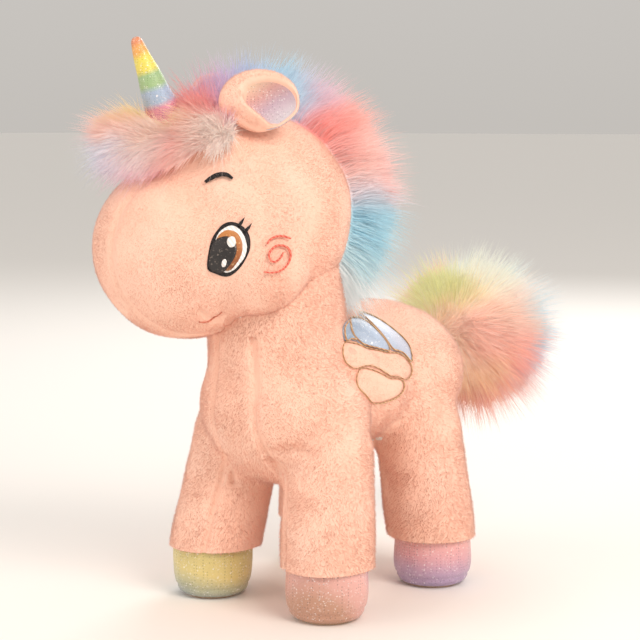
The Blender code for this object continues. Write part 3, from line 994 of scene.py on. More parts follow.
face = {"eyeAt": (43.0, 202.0), "browAt": (45.5, 238.0), "swirlAt": (20.0, 197.5), "mouthAt": (47.5, 164.5)}
eyeShapes = {
    # name: outline in millimetres about the eye's middle (forward, up), lift
    "eyeOutline": (
        [(10, -2), (10.4, -10.2), (6, -12.8), (1.9, -14.2), (-1.2, -13.2), (-4.5, -9.3), (-7.4, -4.1)]
        + [(-9.4, 0.9), (-9.8, 6.2), (-8.2, 10.2), (-4.5, 13.1), (-0.9, 13.8), (2.6, 12.4)]
        + [(5.6, 9), (8.3, 4.6)],
        0.5,
    ),
    "eyeWhite": (
        [(5.7, 6.1), (3.2, 9.6), (-0.9, 11.9), (-4.5, 10.9), (-7.1, 7.1), (-8, 1.5), (-6.8, -3.5)]
        + [(-4.5, -7.3), (-1.9, -10.6), (1.3, -12), (5, -9), (7, 0)],
        0.9,
    ),
    "eyeIris": (
        [(5.6, 5.4), (2.6, 8.7), (-0.3, 9.7), (-3.9, 8.4), (-5.8, 5.2), (-6.1, 0.9), (-5.3, -2.9)]
        + [(-3, -7.4), (0.1, -11), (5, -9), (8, -2)],
        1.3,
    ),
    "eyePupil": (
        [(6.1, 4.8), (3.1, 6.1), (0.2, 6.4), (-3, 4.5), (-3.7, 0.8), (-3.1, -2.9), (-0.8, -7.5)]
        + [(1.8, -11.1), (4.2, -12.2), (9.4, -9.9), (9.6, -3.1), (8.2, 2)],
        1.7,
    ),
    "eyeShine": ([(0.4, 2.8), (0.1, 5), (-1.3, 6.2), (-3, 5.8), (-3.6, 3.8), (-2.9, 1.2), (-0.9, 0.6)], 2.1),
    "eyeGlint": ([(3.1, -6.9), (2.4, -5.3), (1.1, -5.3), (0.8, -7), (1.7, -8.9), (2.9, -8.6)], 2.1),
}
blackThread = threadMaterial("blackThread", "#0B0A0C", "#2A2527")
whiteThread = threadMaterial("whiteThread", "#E9E2DC", "#FFFFFF")
coralThread = threadMaterial("coralThread", "#D8584A", "#F08A74")
softCoralThread = threadMaterial("softCoralThread", "#C9745E", "#DD9078")
tanThread = threadMaterial("tanThread", "#B98A62", "#D9B48A")
amberGlitter = glitterMaterial(
    "amberGlitterThread",
    [(0.0, "#6A3312"), (0.5, "#A8602A"), (1.0, "#D08A48")],
    headPlace(43.5, 0, 188),
    Vector((0, 0, 0.026)),
    dots=0.7,
    speck="#FFD9A0",
)
jetGlitter = glitterMaterial(
    "jetGlitterThread",
    [(0.0, "#120D0D"), (1.0, "#241A18")],
    headPlace(43.5, 0, 188),
    Vector((0, 0, 0.026)),
    dots=0.9,
    speck="#8C8078",
)
lashLines = (((-5, 11.6), (-6.6, 13.8), (-7.9, 16)), ((-8, 8.8), (-9.8, 10.6), (-11.2, 12.8)))
browLine = [(6.3, -2.5), (4, -0.8), (1.6, 0.7), (-1.4, 1.6), (-4.3, 1.2), (-6, -0.7)]
mouthLine = [(6, -1.5), (3, -2.2), (-0.5, -1.6), (-3.5, 0.8), (-5.5, 3.6)]
swirlStrokes = (
    [(-2.1, 2.3), (-0.8, -0.2), (2.1, -2.2), (4.6, -1.5), (5.4, 1), (4.3, 3.5), (1.5, 5.6), (-1.7, 5.8)]
    + [(-4.9, 4.7), (-6.5, 1.8), (-5.5, -2), (-2.9, -5.1), (0.6, -6.9), (4.3, -7.3), (7.8, -6.7)],
    [(5.5, 6.7), (3.7, 8.8), (0.7, 10.1), (-2.6, 10.3), (-5.1, 9.7), (-7.4, 8.7)],
)
eyeFinish = {
    "eyeOutline": blackThread,
    "eyeWhite": whiteThread,
    "eyeIris": amberGlitter,
    "eyePupil": jetGlitter,
    "eyeShine": whiteThread,
    "eyeGlint": whiteThread,
}
sides = {"left": 1, "right": -1}


def movedTo(spot, line):
    return [(spot[0] + forward, spot[1] + up) for forward, up in line]


def buildFace(sideName):
    drop = onHead(sides[sideName])
    made = {}
    for key, (outline, lift) in eyeShapes.items():
        spots = movedTo(face["eyeAt"], outline)
        made[key] = patch(f"{key}_{sideName}", spots, drop, lift, 0.45)
        dress(made[key], eyeFinish[key])
    lashes = []
    for k, line in enumerate(lashLines):
        spots = movedTo(face["eyeAt"], line)
        lashes.append(cordOn(f"lash{k}", spots, (1.0, 0.7, 0.15), drop, 1.4, 0.6))
    lash = joinAll(lashes, f"eyeLashes_{sideName}")
    dress(lash, blackThread)
    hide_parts(f"eye_{sideName}")
    line = movedTo(face["browAt"], browLine)
    brow = cordOn(f"brow_{sideName}Thread", line, (0.6, 1.0, 1.15, 1.1, 0.7), drop, 1.6, 0.9)
    dress(brow, blackThread)
    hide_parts(f"brow_{sideName}")
    strokes = []
    for k, stroke in enumerate(swirlStrokes):
        line = movedTo(face["swirlAt"], stroke)
        strokes.append(cordOn(f"stroke{k}", line, (0.4, 0.55, 0.55, 0.35), drop, 1.9, 0.7, fine=4))
    swirl = joinAll(strokes, f"cheekSwirl_{sideName}Thread")
    dress(swirl, coralThread)
    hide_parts(f"cheek_swirl_{sideName}")
    line = movedTo(face["mouthAt"], mouthLine)
    mouth = cordOn(f"mouth_{sideName}Thread", line, (0.25, 0.45, 0.45, 0.25), drop, 0.2, 0.4)
    dress(mouth, softCoralThread)
    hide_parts(f"mouth_stitch_{sideName}")
    for piece in (*made.values(), lash, brow, swirl, mouth):
        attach(piece, "head")


for sideName in sides:
    buildFace(sideName)
print("face")


wing = {
    # outlines in millimetres, (forward, up), on the toy's flank
    "feathers": (
        [(26, 155), (18, 158), (14, 157), (13.6, 152), (13.6, 147), (20, 148.5), (25.8, 148.5)]
        + [(27.5, 152)],
        [(11.6, 157), (3.5, 157.5), (-2.6, 156), (-4, 150), (-4, 143), (-1.8, 140.3), (5.6, 143)]
        + [(12, 144.5), (12.6, 151)],
        [(-6.3, 156), (-10.4, 158.7), (-16.3, 157), (-21, 151.5), (-24, 145), (-24.8, 140), (-22.4, 134.5)]
        + [(-19.5, 132.7), (-15.3, 137.3), (-9.4, 139.7), (-5.4, 141.2), (-5, 149)],
    ),
    "scallops": (
        [(27, 148), (19.7, 146.6), (13.6, 144.6), (11, 142.6), (4.5, 141.6), (-1.3, 139.5), (-8.2, 138.8)]
        + [(-14.7, 136.5), (-19, 132), (-19.5, 129), (-16.6, 125.3), (-10.7, 123.8), (-5, 126.5), (2, 127.2)]
        + [(7, 130.7), (13.5, 134.2), (19, 134), (23, 132.8), (28, 135.5), (31, 140), (30, 145.5)],
        [(22, 131.6), (18, 133.2), (12.4, 131.4), (7.8, 129.2), (2.1, 126), (-4.8, 125.4), (-9, 122.6)]
        + [(-8.4, 118.6), (-3.8, 115.6), (4.3, 113.8), (12.3, 113.4), (18.5, 115.2), (23.5, 119.6)]
        + [(27.5, 124)],
    ),
}
silverCloth = glitterMaterial(
    "silverGlitterCloth",
    [(0.0, "#CDD0E2"), (0.45, "#B3C3DA"), (1.0, "#93A9C0")],
    place(0, 22, 146),
    Vector((0, -0.052, 0)),
    dots=0.7,
)


def buildWing(sideName):
    drop = onTorso(sides[sideName])
    parts, outlines = [], []
    for k, outline in enumerate(wing["feathers"]):
        parts.append(patch(f"feather{k}", outline, drop, 1.3, 0.5))
    feathers = joinAll(parts, f"wingFeathers_{sideName}")
    dress(feathers, silverCloth)
    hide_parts(f"wing_{sideName}")
    parts = []
    for k, outline in enumerate(wing["scallops"]):
        parts.append(patch(f"row{k}", outline, drop, 0.4, 0.6, count=64))
    rows = joinAll(parts, f"wingRows_{sideName}")
    dress(rows, pink)
    for k, outline in enumerate((*wing["feathers"], *wing["scallops"])):
        loop = smoothLoop(outline, 64)
        line = [tuple(spot) for spot in (*loop, loop[0], loop[1])]
        high, thick = (1.6, 0.32) if k < len(wing["feathers"]) else (1.0, 0.2)
        outlines.append(cordOn(f"edge{k}", line, (thick, thick), drop, high, 0.5, sides=6, fine=1))
    edges = joinAll(outlines, f"wingEdges_{sideName}")
    dress(edges, tanThread)
    for piece in (feathers, rows, edges):
        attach(piece, "torso")


for sideName in sides:
    buildWing(sideName)
print("wings")


horn = {"at": (56, 0, 253.5), "lean": 21.0, "length": 61.5, "base": 11.6, "tip": 3.3}


def hornPlace():
    return (
        Matrix.Translation(headPlace(*horn["at"]))
        @ headSpin
        @ Matrix.Rotation(math.radians(horn["lean"]), 4, "X")
    )


def buildHorn():
    high, wide, tip = horn["length"], horn["base"], horn["tip"]
    profile = [(0.01, -9), (wide * 0.8, -9), (wide * 1.02, -4)]
    for i in range(13):
        part = i / 12
        radius = wide + (tip - wide) * part + 0.7 * math.sin(math.pi * part)
        profile.append((radius, part * (high - 3.5)))
    profile += [(tip * 0.86, high - 1.6), (tip * 0.5, high - 0.3), (0.01, high)]
    made = lathe("hornCloth", profile, Matrix.Identity(4), 36)
    refine(made)
    found = points(made.data)
    # the seam down the back, and slightly uneven stuffing
    angle = np.arctan2(found[:, 0], found[:, 1])
    seam = 0.5 * np.exp(-((angle / 0.12) ** 2)) * mm
    height = found[:, 2] / mm
    swell = 1 + 0.018 * np.sin(height * 0.33 + angle) + 0.012 * np.sin(angle * 3 + height * 0.2)
    radius = np.linalg.norm(found[:, :2], axis=1)
    found[:, :2] *= ((swell * radius - seam) / np.maximum(radius, 1e-6))[:, None]
    setPoints(made.data, found)
    made.data.transform(hornPlace())
    return smoothShade(made)


hornCloth = buildHorn()
hornAxis = hornPlace().to_3x3() @ Vector((0, 0, 1))
hornBands = ["#D98FA6", "#D98FA6", "#A4BBD6", "#9FC08A", "#EADB62", "#EFAE5E", "#DE8F66"]
hornEdges = [0.0, 0.2, 0.4, 0.545, 0.69, 0.84, 0.93, 1.0]
hornStops = []
for low, high, colour in zip(hornEdges, hornEdges[1:], hornBands, strict=False):
    hornStops += [(low + 0.025, colour), (high - 0.025, colour)]
hornFoil = glitterMaterial(
    "hornGlitterCloth",
    hornStops,
    headPlace(*horn["at"]),
    hornAxis * horn["length"] * mm,
    dots=1.2,
    wander=0.02,
)
dress(hornCloth, hornFoil)
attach(hornCloth, "head")
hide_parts("horn_cover")

hoof = {"radius": 22.6, "widest": 16.0, "top": 37.0, "sole": 15.5}
hoofDyes = {
    # colour stops from one side to the other, and the way across in the toy's own axes
    "front_right": ([(0.1, "#8F9BA8"), (0.35, "#B3B596"), (0.6, "#DCCB86"), (0.9, "#CFC07E")], (0.2, 0, 1)),
    "front_left": (
        [(0.1, "#C0917A"), (0.3, "#DDA79C"), (0.6, "#EDB6AE"), (0.9, "#D3B0BE")],
        (-0.2, 0.75, 0.7),
    ),
    "rear_left": ([(0.1, "#9A8BAE"), (0.4, "#B99CB8"), (0.65, "#DDA4AC"), (0.95, "#EFB0A8")], (0.1, 0, 1)),
    "rear_right": ([(0.1, "#B79A7C"), (0.6, "#D8C29A"), (0.95, "#E2CFA8")], (0, 0, 1)),
}


def buildHoof(name):
    spot = legs[name][1]
    widest, radius = hoof["widest"], hoof["radius"]
    profile = [(0.01, 0.9), (hoof["sole"] - 3, 0.9), (hoof["sole"], 1.0)]
    for i in range(9):
        angle = math.pi / 2 * (i + 1) / 9
        low = hoof["sole"] + 1.2
        height = widest - (widest - 1.2) * math.cos(angle)
        profile.append((low + (radius - low) * math.sin(angle), height))
    profile += [(radius, 22), (radius - 0.3, 28), (radius - 1.4, hoof["top"]), (0.01, hoof["top"])]
    made = lathe(f"hoofCloth_{name}", profile, Matrix.Identity(4), 40)
    refine(made)
    found = points(made.data)
    p = found / mm
    angle = np.arctan2(p[:, 1], p[:, 0])
    # the seam round the sole, and one up the front
    groove = 0.8 * np.exp(-(((p[:, 2] - 6.2) / 0.9) ** 2))
    frontSeam = 0.55 * np.exp(-((np.abs(np.angle(np.exp(1j * (angle + math.pi / 2)))) / 0.045) ** 2))
    swell = 0.35 * np.sin(angle * 4 + spot[0]) * np.sin(p[:, 2] * 0.18) * (p[:, 2] > 3)
    size = np.maximum(np.linalg.norm(p[:, :2], axis=1), 1e-6)
    change = (swell - groove - frontSeam * (p[:, 2] > 7)) * (size > 12)
    p[:, :2] *= ((size + change) / size)[:, None]
    setPoints(made.data, p * mm)
    made.data.transform(Matrix.Translation(place(*spot, 0)))
    smoothShade(made)
    stops, way = hoofDyes[name]
    way = Vector(way).normalized()
    start = place(*spot, 14) - way * 19 * mm
    dress(
        made,
        glitterMaterial(f"hoofGlitterCloth_{name}", stops, start, way * 38 * mm, dots=1.7),
    )
    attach(made, "leg_" + name)
    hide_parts(f"hoof_{name}")
    return made


for name in legs:
    buildHoof(name)
print("horn and hooves")


ear = {"forward": 23.0, "out": 37.5, "up": 261.0, "wide": 21.5, "high": 16.4, "turn": 58.0, "fold": 8.0}
liningStops = [(0.0, "#F0E2B4"), (0.3, "#EBD0B4"), (0.5, "#D9A9A4"), (0.72, "#C9B3C4"), (1.0, "#D9D6E0")]


def earPlace(side):
    return (
        Matrix.Translation(headPlace(ear["forward"], ear["out"] * side, ear["up"]))
        @ headSpin
        @ Matrix.Rotation(math.radians(ear["turn"] * side), 4, "Z")
        @ Matrix.Rotation(math.radians(-8), 4, "X")
    )


def bowl(name, profile, matrix, side, folded):
    # a turned bowl with its opening towards -y, shaped into an ear: narrow at the root, the opening
    # set back, and the rim in front folded over it
    made = lathe(name, profile, Matrix.Rotation(math.radians(90), 4, "X"), 40)
    refine(made)
    p = points(made.data) / mm
    x, z = p[:, 0].copy(), p[:, 2].copy()
    root = np.clip((z + 1.1) / 0.9, 0, 1)
    root = root * root * (3 - 2 * root)
    narrow = 0.70 + 0.30 * root
    share = np.hypot(x, z)
    inner = np.clip((0.96 - share) / 0.16, 0, 1) * (p[:, 1] < 2.75)
    backward = x * side
    toFold = np.clip((-backward * 0.8 - z * 0.6) / np.maximum(share, 0.05), 0, 1) ** 1.4
    rim = np.clip((share - 0.55) / 0.2, 0, 1) * inner * folded
    pull = toFold * rim * ear["fold"]
    p[:, 0] = x * ear["wide"] * narrow + side * (inner * 4.2 + pull * 0.85)
    p[:, 1] = p[:, 1] - pull * 0.5 + (1 - root) * 1.5
    p[:, 2] = z * ear["high"] + ear["high"] - inner * 2.4 + pull * 0.55
    setPoints(made.data, p * mm)
    made.data.transform(matrix)
    return smoothShade(made)


def buildEar(sideName):
    side = sides[sideName]
    # (share of the ear's half width, millimetres towards the opening)
    back = [(0.01, -6.5), (0.3, -6.4), (0.6, -5.4), (0.85, -3.0), (0.98, 0.2), (1.0, 2.6), (0.95, 4.6)]
    front = [(0.87, 5.2), (0.78, 4.4), (0.68, 2.2), (0.5, -0.4), (0.25, -1.8), (0.01, -2.2)]
    cover = bowl(f"plushEar_{sideName}", back + front, earPlace(side), side, 1)
    dress(cover, pink)
    inside = [(0.01, -3.0), (0.5, -1.4), (0.74, 1.8), (0.8, 3.4), (0.79, 4.3), (0.7, 2.8), (0.5, 0.1)]
    inside += [(0.25, -1.4), (0.01, -1.8)]
    lining = bowl(f"earLining_{sideName}", inside, earPlace(side), side, 0)
    matrix = earPlace(side)
    way = matrix.to_3x3() @ Vector((side * 0.5, 0, -0.86))
    start = matrix @ (Vector((side * -8, 0, 34)) * mm)
    cloth = glitterMaterial(f"earGlitterCloth_{sideName}", liningStops[::-1], start, way * 34 * mm, dots=1.3)
    dress(lining, cloth)
    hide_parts(f"ear_{sideName}_cover")
    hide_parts(f"ear_{sideName}_lining")
    for piece in (cover, lining):
        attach(piece, f"ear_{sideName}")
    return cover, lining


ears = {sideName: buildEar(sideName) for sideName in sides}
print("ears")


# short pile over all the plush
# hairs per square millimetre, millimetres, millimetres, and how far a hair stands up
pile = {"density": 3.6, "length": 2.1, "width": 0.26, "stand": 0.6}


def pileDyeAndShading(roots, facing, crease):
    # pink, with painted shade: coral in the creases and low down, where shade falls; and painted light: a
    # little lighter on top; the blotches and the fine spread are random tone
    blotch = waves(roots, 17, 2.2).sum(axis=1) / 3
    fine = draws.normal(0, 1, len(roots))
    base = np.array(toLinear("#FDC6AF"))
    deep = np.array(toLinear("#F4A48B"))
    paintedLightColour = np.array(toLinear("#FFE6D8"))
    # painted shade: hairs that face down, and hairs near the seams' creases, take more of the deep coral
    down = np.clip(0.5 - facing[:, 2] * 0.5, 0, 1)
    part = np.clip(0.1 + 0.4 * down + 0.12 * blotch + 0.08 * fine + 0.5 * crease, 0, 1)[:, None]
    # painted light: hairs that face up are mixed towards the pale colour, partly at random
    paintedGlow = np.clip(0.22 * facing[:, 2] + 0.15 * draws.normal(0, 1, len(roots)), 0, 0.6)[:, None]
    colour = base * (1 - part) + deep * part
    return colour * (1 - paintedGlow) + paintedLightColour * paintedGlow


def growPile(skin, name, flow, keep=None, density=1.0, length=1.0, seams=None):
    roots, facing = scatter(skin.data, pile["density"] * density, keep)
    count = len(roots)
    lie = flow(roots)
    lie = lie - facing * (lie * facing).sum(axis=1, keepdims=True)
    swirl = waves(roots, 9, 5.0) * 0.25
    lean = facing * pile["stand"] + unit(lie + 1e-6) * 0.6 + swirl + draws.normal(0, 0.16, (count, 3))
    long = pile["length"] * length * draws.uniform(0.65, 1.15, count)
    crease = np.zeros(count)
    for distance, _, halfWidth in seams(roots, facing) if seams else ():
        crease = np.maximum(crease, np.exp(-((distance / halfWidth) ** 2)))
    long *= 1 - 0.65 * crease
    # the pile's colour carries painted shade underneath and in the creases, and painted light on top
    dyeAndShading = pileDyeAndShading(roots, facing, crease)
    hair = growHair(
        name, roots - facing * 0.4 * mm, facing, lean, long, pile["width"], dyeAndShading, shadeMix=0.12
    )
    hair.data.materials.append(pileHair)
    return hair


# the pile glows faintly with its own colour: painted light
pileHair = hairMaterial("plushPileFibre", 0.35, paintedGlow=0.12)


def headFlow(roots):
    # brushed from the muzzle back and down over the cheeks
    h = headSpace(roots)
    back = -np.array(ahead)[None, :] * 1.0
    down = np.array((0, 0, -1.0))[None, :] * np.clip((230 - h[:, 2]) / 50, 0.1, 1)[:, None]
    return back + down * 0.8


def bodyFlow(roots):
    return np.array((0, 0.75, -0.8))[None, :] + waves(roots, 30, 1.0) * 0.25


def legFlow(roots):
    return np.array((0, 0.15, -1.0))[None, :] + waves(roots, 22, 1.0) * 0.2


def outsideOf(tree, roots, deep):
    # true where a root is not more than deep (mm) inside a closed piece
    found = []
    for spot in roots:
        nearest, normal, _, _ = tree.find_nearest(Vector(spot))
        found.append((Vector(spot) - nearest).dot(normal) > -deep * mm)
    return np.array(found)


def outsideOutline(found, outline, grow):
    # true where (forward, up) lies outside an outline, given as a smooth loop
    loop = smoothLoop(outline, 40)
    middle = loop.mean(axis=0)
    loop = middle + (loop - middle) * grow
    x, y = found[:, 0], found[:, 1]
    inside = np.zeros(len(found), bool)
    for a, b in zip(loop, np.roll(loop, -1, axis=0), strict=True):
        crosses = (a[1] > y) != (b[1] > y)
        rise = b[1] - a[1]
        at = a[0] + (y - a[1]) * (b[0] - a[0]) / (rise if abs(rise) > 1e-9 else 1e-9)
        inside ^= crosses & (x < at)
    return ~inside


def keepHead(roots, facing):
    h = headSpace(roots)
    outline = movedTo(face["eyeAt"], eyeShapes["eyeOutline"][0])
    clear = outsideOutline(h[:, [0, 2]], outline, 1.05) | (np.abs(h[:, 1]) < 20)
    return clear & outsideOf(neckTree, roots, 1.0)


def keepTorso(roots, facing):
    p = toolSpace(roots)
    clear = np.ones(len(roots), bool)
    for outline in (*wing["feathers"], *wing["scallops"]):
        outside = outsideOutline(np.stack([-p[:, 1], p[:, 2]], axis=1), outline, 1.0)
        clear &= outside | (np.abs(p[:, 0]) < 25)
    flat = (np.abs(p[:, 2] - body["legCut"]) < 0.3) & (np.abs(facing[:, 2]) > 0.9)
    return clear & ~flat


def keepLeg(roots, facing):
    z = toolSpace(roots)[:, 2]
    return (z < body["legCut"] - 0.1) & (z > body["cuffHeight"] + 0.2)


def keepNeck(roots, facing):
    above = (toolSpace(roots) - np.array(body["neckCut"])) @ np.array(neckWay())
    return (above > 0.1) & outsideOf(headTree, roots, 1.0)


headPile = growPile(headSkin, "headPile", headFlow, keepHead, density=1.15, length=0.75, seams=headSeams)
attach(headPile, "head")
torsoPile = growPile(torso, "torsoPile", bodyFlow, keepTorso, density=0.84, seams=bodySeams)
fitTorso(torsoPile)
neckPile = growPile(neck, "neckPile", bodyFlow, keepNeck, seams=bodySeams)
fitNeck(neckPile)
for name in legs:
    legPile = growPile(pieces[name], "legPile_" + name, legFlow, keepLeg, seams=bodySeams)
    fitLeg(legPile)


def buildEarPile(sideName):
    cover, lining = ears[sideName]
    liningTree = treeOf(lining)

    def keepEar(roots, facing):
        bare = [liningTree.find_nearest(Vector(spot), 1.7 * mm)[0] is None for spot in roots]
        return np.array(bare) & outsideOf(headTree, roots, 0.5)

    def earFlow(roots):
        return np.array((0, 0, 1.0))[None, :] + waves(roots, 8, 1.0) * 0.3

    hair = growPile(cover, "earPile_" + sideName, earFlow, keepEar, density=1.4, length=0.75)
    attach(hair, "ear_" + sideName)


for sideName in sides:
    buildEarPile(sideName)


def buildWingPile(sideName):
    rows = bpy.data.objects["wingRows_" + sideName]
    side = sides[sideName]

    def keepRow(roots, facing):
        return facing[:, 0] * side > 0.2

    hair = growPile(rows, "wingPile_" + sideName, bodyFlow, keepRow, density=1.2, length=0.62)
    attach(hair, "torso")


for sideName in sides:
    buildWingPile(sideName)
print("short pile")


# long tie-dyed fur for the mane, forelock and tail
# paler under 1 lightens every dye
fur = {"density": 3.4, "guardShare": 0.2, "underWidth": 0.5, "guardWidth": 0.26, "paler": 0.85}
maneAnchors = [
    # (forward, left, up) on the head, and the dye there
    ((108, 6, 246), "#CFDDEA"),
    ((96, 14, 244), "#CDD6EC"),
    ((106, 6, 262), "#FFBFB2"),
    ((92, 14, 268), "#FFB4A8"),
    ((88, 14, 257), "#FFE2D2"),
    ((78, 14, 242), "#FFB4C0"),
    ((66, 16, 247), "#FF9C90"),
    ((56, 20, 246), "#FFAA9A"),
    ((62, 14, 257), "#FCC0A8"),
    ((80, 6, 272), "#F8D27C"),
    ((76, -14, 270), "#FFC09A"),
    ((46, 22, 258), "#FFE3D2"),
    ((38, 28, 256), "#FFE0D2"),
    ((50, 26, 250), "#FFD9CA"),
    ((47, 14, 276), "#FA8C80"),
    ((54, 12, 288), "#F2746C"),
    ((42, 14, 290), "#F08A90"),
    ((34, 14, 292), "#C9A0C4"),
    ((26, 14, 288), "#B3A8D2"),
    ((18, 14, 296), "#A9B6DA"),
    ((4, 14, 296), "#9DC6DE"),
    ((-10, 14, 288), "#A3CBE0"),
    ((-19, 16, 280), "#D9AFC0"),
    ((-22, 18, 268), "#F79083"),
    ((-28, 18, 260), "#F2847A"),
    ((-36, 16, 268), "#F7A496"),
    ((-40, 16, 252), "#F9BDB0"),
    ((-36, 18, 240), "#F8DAD2"),
    ((-52, 14, 234), "#F3B6AE"),
    ((-38, 18, 230), "#DCD6E2"),
    ((-48, 18, 220), "#A8D2E2"),
    ((-50, 18, 208), "#93CBE0"),
    ((-50, 18, 197), "#A5D6E4"),
    ((-44, 18, 188), "#CFE6EA"),
    ((-40, 18, 178), "#F2EFEC"),
]
tailAnchors = [
    # (x, y, z) in the toy's own axes
    ((16, 108, 176), "#D9DC86"),
    ((22, 116, 182), "#C6D07E"),
    ((24, 108, 164), "#F8B68C"),
    ((30, 116, 150), "#FBD9C0"),
    ((28, 128, 168), "#FCE6C8"),
    ((20, 142, 178), "#F3E9CE"),
    ((12, 156, 178), "#D5DCCB"),
    ((30, 140, 154), "#FBE3CC"),
    ((34, 122, 138), "#F98C80"),
    ((38, 138, 140), "#FBB09C"),
    ((40, 146, 128), "#F8988C"),
    ((34, 154, 156), "#F4D2C0"),
    ((26, 172, 154), "#CDE2E4"),
    ((26, 186, 142), "#9FCBDC"),
    ((20, 196, 130), "#BDB4DC"),
    ((22, 180, 120), "#B9C9DE"),
    ((12, 198, 116), "#E9C0B8"),
    ((34, 120, 120), "#FAB07C"),
    ((26, 112, 126), "#FAD9BC"),
    ((26, 112, 106), "#F6BC86"),
    ((20, 128, 100), "#F2A184"),
    ((16, 146, 94), "#EE9480"),
    ((22, 170, 102), "#E4B4AC"),
    ((-30, 140, 150), "#F6B0A2"),
    ((-32, 168, 138), "#A8D0E0"),
    ((-24, 116, 170), "#DDDB8C"),
    ((-30, 124, 112), "#F8BA88"),
    ((-18, 190, 122), "#C4B8DC"),
]
# both fur materials glow with their own colour: painted light standing in for the light passed on between
# fibres
furHair = hairMaterial("tieDyedFurFibre", 0.3, paintedGlow=0.4)
underfur = hairMaterial("tieDyedUnderfur", 0.5, paintedGlow=0.4)  # knitted backing and its down


def dyeMesh(obj, anchors, reach):
    colours = dyeFrom(points(obj.data), anchors, reach) ** fur["paler"]
    stored = obj.data.attributes.new("dyeAndShading", "FLOAT_COLOR", "POINT")
    values = np.ones((len(colours), 4), np.float32)
    values[:, :3] = colours
    stored.data.foreach_set("color", values.ravel())


def growFur(core, name, body, lean, anchors, reach, lengths, keep=None, droop=0.2):
    # soft dense underfur, and long thin guard hairs that stand out past it
    for label, share, width, long, bends, spread in (
        ("Under", 1 - fur["guardShare"], fur["underWidth"], lengths[0], 2, 0.15),
        ("Guard", fur["guardShare"], fur["guardWidth"], lengths[1], 3, 0.22),
    ):
        roots, facing = scatter(core.data, fur["density"] * share, keep)
        count = len(roots)
        long = long * draws.uniform(0.6, 1.1, count)
        locks = lean(roots, facing) + waves(roots, 5.5, 4.4) * 0.22  # hairs lean together in locks
        direction = unit(locks + draws.normal(0, spread, (count, 3)))
        dyeAndShading = dyeFrom(roots + direction * (long * 0.6 * mm)[:, None], anchors, reach)
        level = draws.uniform(0.92, 1.1, count)[:, None]
        pale = np.clip(draws.normal(0.06, 0.1, count), 0, 0.5)[:, None]
        dyeAndShading = np.clip(dyeAndShading ** fur["paler"] * level, 0, 1) * (1 - pale) + pale
        # the normals lean upward too, as light that wanders through real fur evens out its shading
        lifted = unit(facing * 0.75 + np.array((0, 0, 0.55)))
        hair = growHair(name + label, roots, lifted, direction, long, width, dyeAndShading, droop, bends, 0.2)
        hair.data.materials.append(furHair)
        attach(hair, body)


def buildMane():
    turn = (0, 0, -headTurn)
    crest = addBall(headPlace(8, 0, 219), (23, 66, 68), turn, 5)
    cutAway(crest, headPlace(49, 0, 240), ahead)
    cutAway(crest, headPlace(-10, 0, 214), (0, 0, -1))
    nape = addBall(headPlace(-31, 0, 212), (22, 20, 34), turn, 4)
    crestCore = skinOver([crest, nape], "maneCore", 2.6, 6)
    lock = addBall(headPlace(76, 0, 257), (20, 18, 10), turn, 4)
    second = addBall(headPlace(59, 0, 253), (27, 22, 12), turn, 4)
    third = addBall(headPlace(42, 0, 259), (35, 18, 14), turn, 4)
    lockCore = skinOver([lock, second, third], "forelockCore", 2.6, 4)
    return crestCore, lockCore


anchorsMane = [(tuple(headMm(*spot)), colour) for spot, colour in maneAnchors]
# the right side takes the left side's colours
anchorsMane += [
    (tuple(headMm(forward, -left - 4, up)), colour)
    for (forward, left, up), colour in maneAnchors
    if left > 8
]
maneCore, lockCore = buildMane()
hornRoot = np.array(headMm(58, 0, 262))


def maneLean(roots, facing):
    h = headSpace(roots)
    sideways = 0.9 + 1.8 * np.clip((h[:, 0] - 18) / 25, 0, 1)
    out = np.stack([h[:, 0] - 8, h[:, 1] * sideways, h[:, 2] - 212], axis=1)
    way = out[:, 0:1] * np.array(ahead) + out[:, 1:2] * np.array(toLeft)
    way += out[:, 2:3] * np.array((0, 0, 1.0))
    back = -np.array(ahead)[None, :] * np.clip((h[:, 2] - 230) / 60, 0, 1)[:, None] * 0.35
    low = np.array((0, 0, -1.0))[None, :] * np.clip((215 - h[:, 2]) / 30, 0, 1)[:, None] * 0.5
    return unit(way) + facing * 0.5 + back + low


def lockLean(roots, facing):
    # combed forward over the forehead, the upper hair a little up and the lower hair a little down
    h = headSpace(roots)
    rise = np.clip((h[:, 2] - 251) / 14, -0.3, 0.8)[:, None]
    rise = rise * np.clip((h[:, 0] - 62) / 15, 0.3, 1)[:, None]
    aside = (h[:, 1] / 25)[:, None] * np.array(toLeft)
    front = np.clip((h[:, 0] - 25) / 35, 0.2, 1)[:, None]
    return facing * 0.35 + np.array(ahead) * 0.9 * front + np.array((0, 0, 0.5)) * rise + aside * 0.45


def offHead(roots, facing):
    # roots on the outside of the head and clear of the horn
    away = toolSpace(roots) - hornRoot
    hornWay = np.array(hornAxis)
    fromHorn = np.linalg.norm(away - (away @ hornWay)[:, None] * hornWay, axis=1)
    return outsideOf(headTree, roots, -0.5) & (fromHorn > 10.5)


for core, label, lean, node, lengths in (
    (maneCore, "maneFur", maneLean, "mane", (17, 30)),
    (lockCore, "forelockFur", lockLean, "forelock", (15, 25)),
):
    dyeMesh(core, anchorsMane, 9)
    dress(core, underfur)
    smoothShade(core)
    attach(core, "head")
    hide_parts(node)
    growFur(core, label, "head", lean, anchorsMane, 8, lengths, offHead)

tail = {"centre": (0, 150, 136), "radii": (33, 38, 31)}


def buildTail():
    heap = [addBall(place(*tail["centre"]), tail["radii"], detail=4)]
    heap += addColumn((0, 103, 136), (0, 124, 136), 7.5, 15, 4)
    return skinOver(heap, "tailCore", 2.8, 5)


tailCore = buildTail()
dyeMesh(tailCore, tailAnchors, 13)
dress(tailCore, underfur)
smoothShade(tailCore)
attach(tailCore, "tail")
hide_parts("tail_fur")


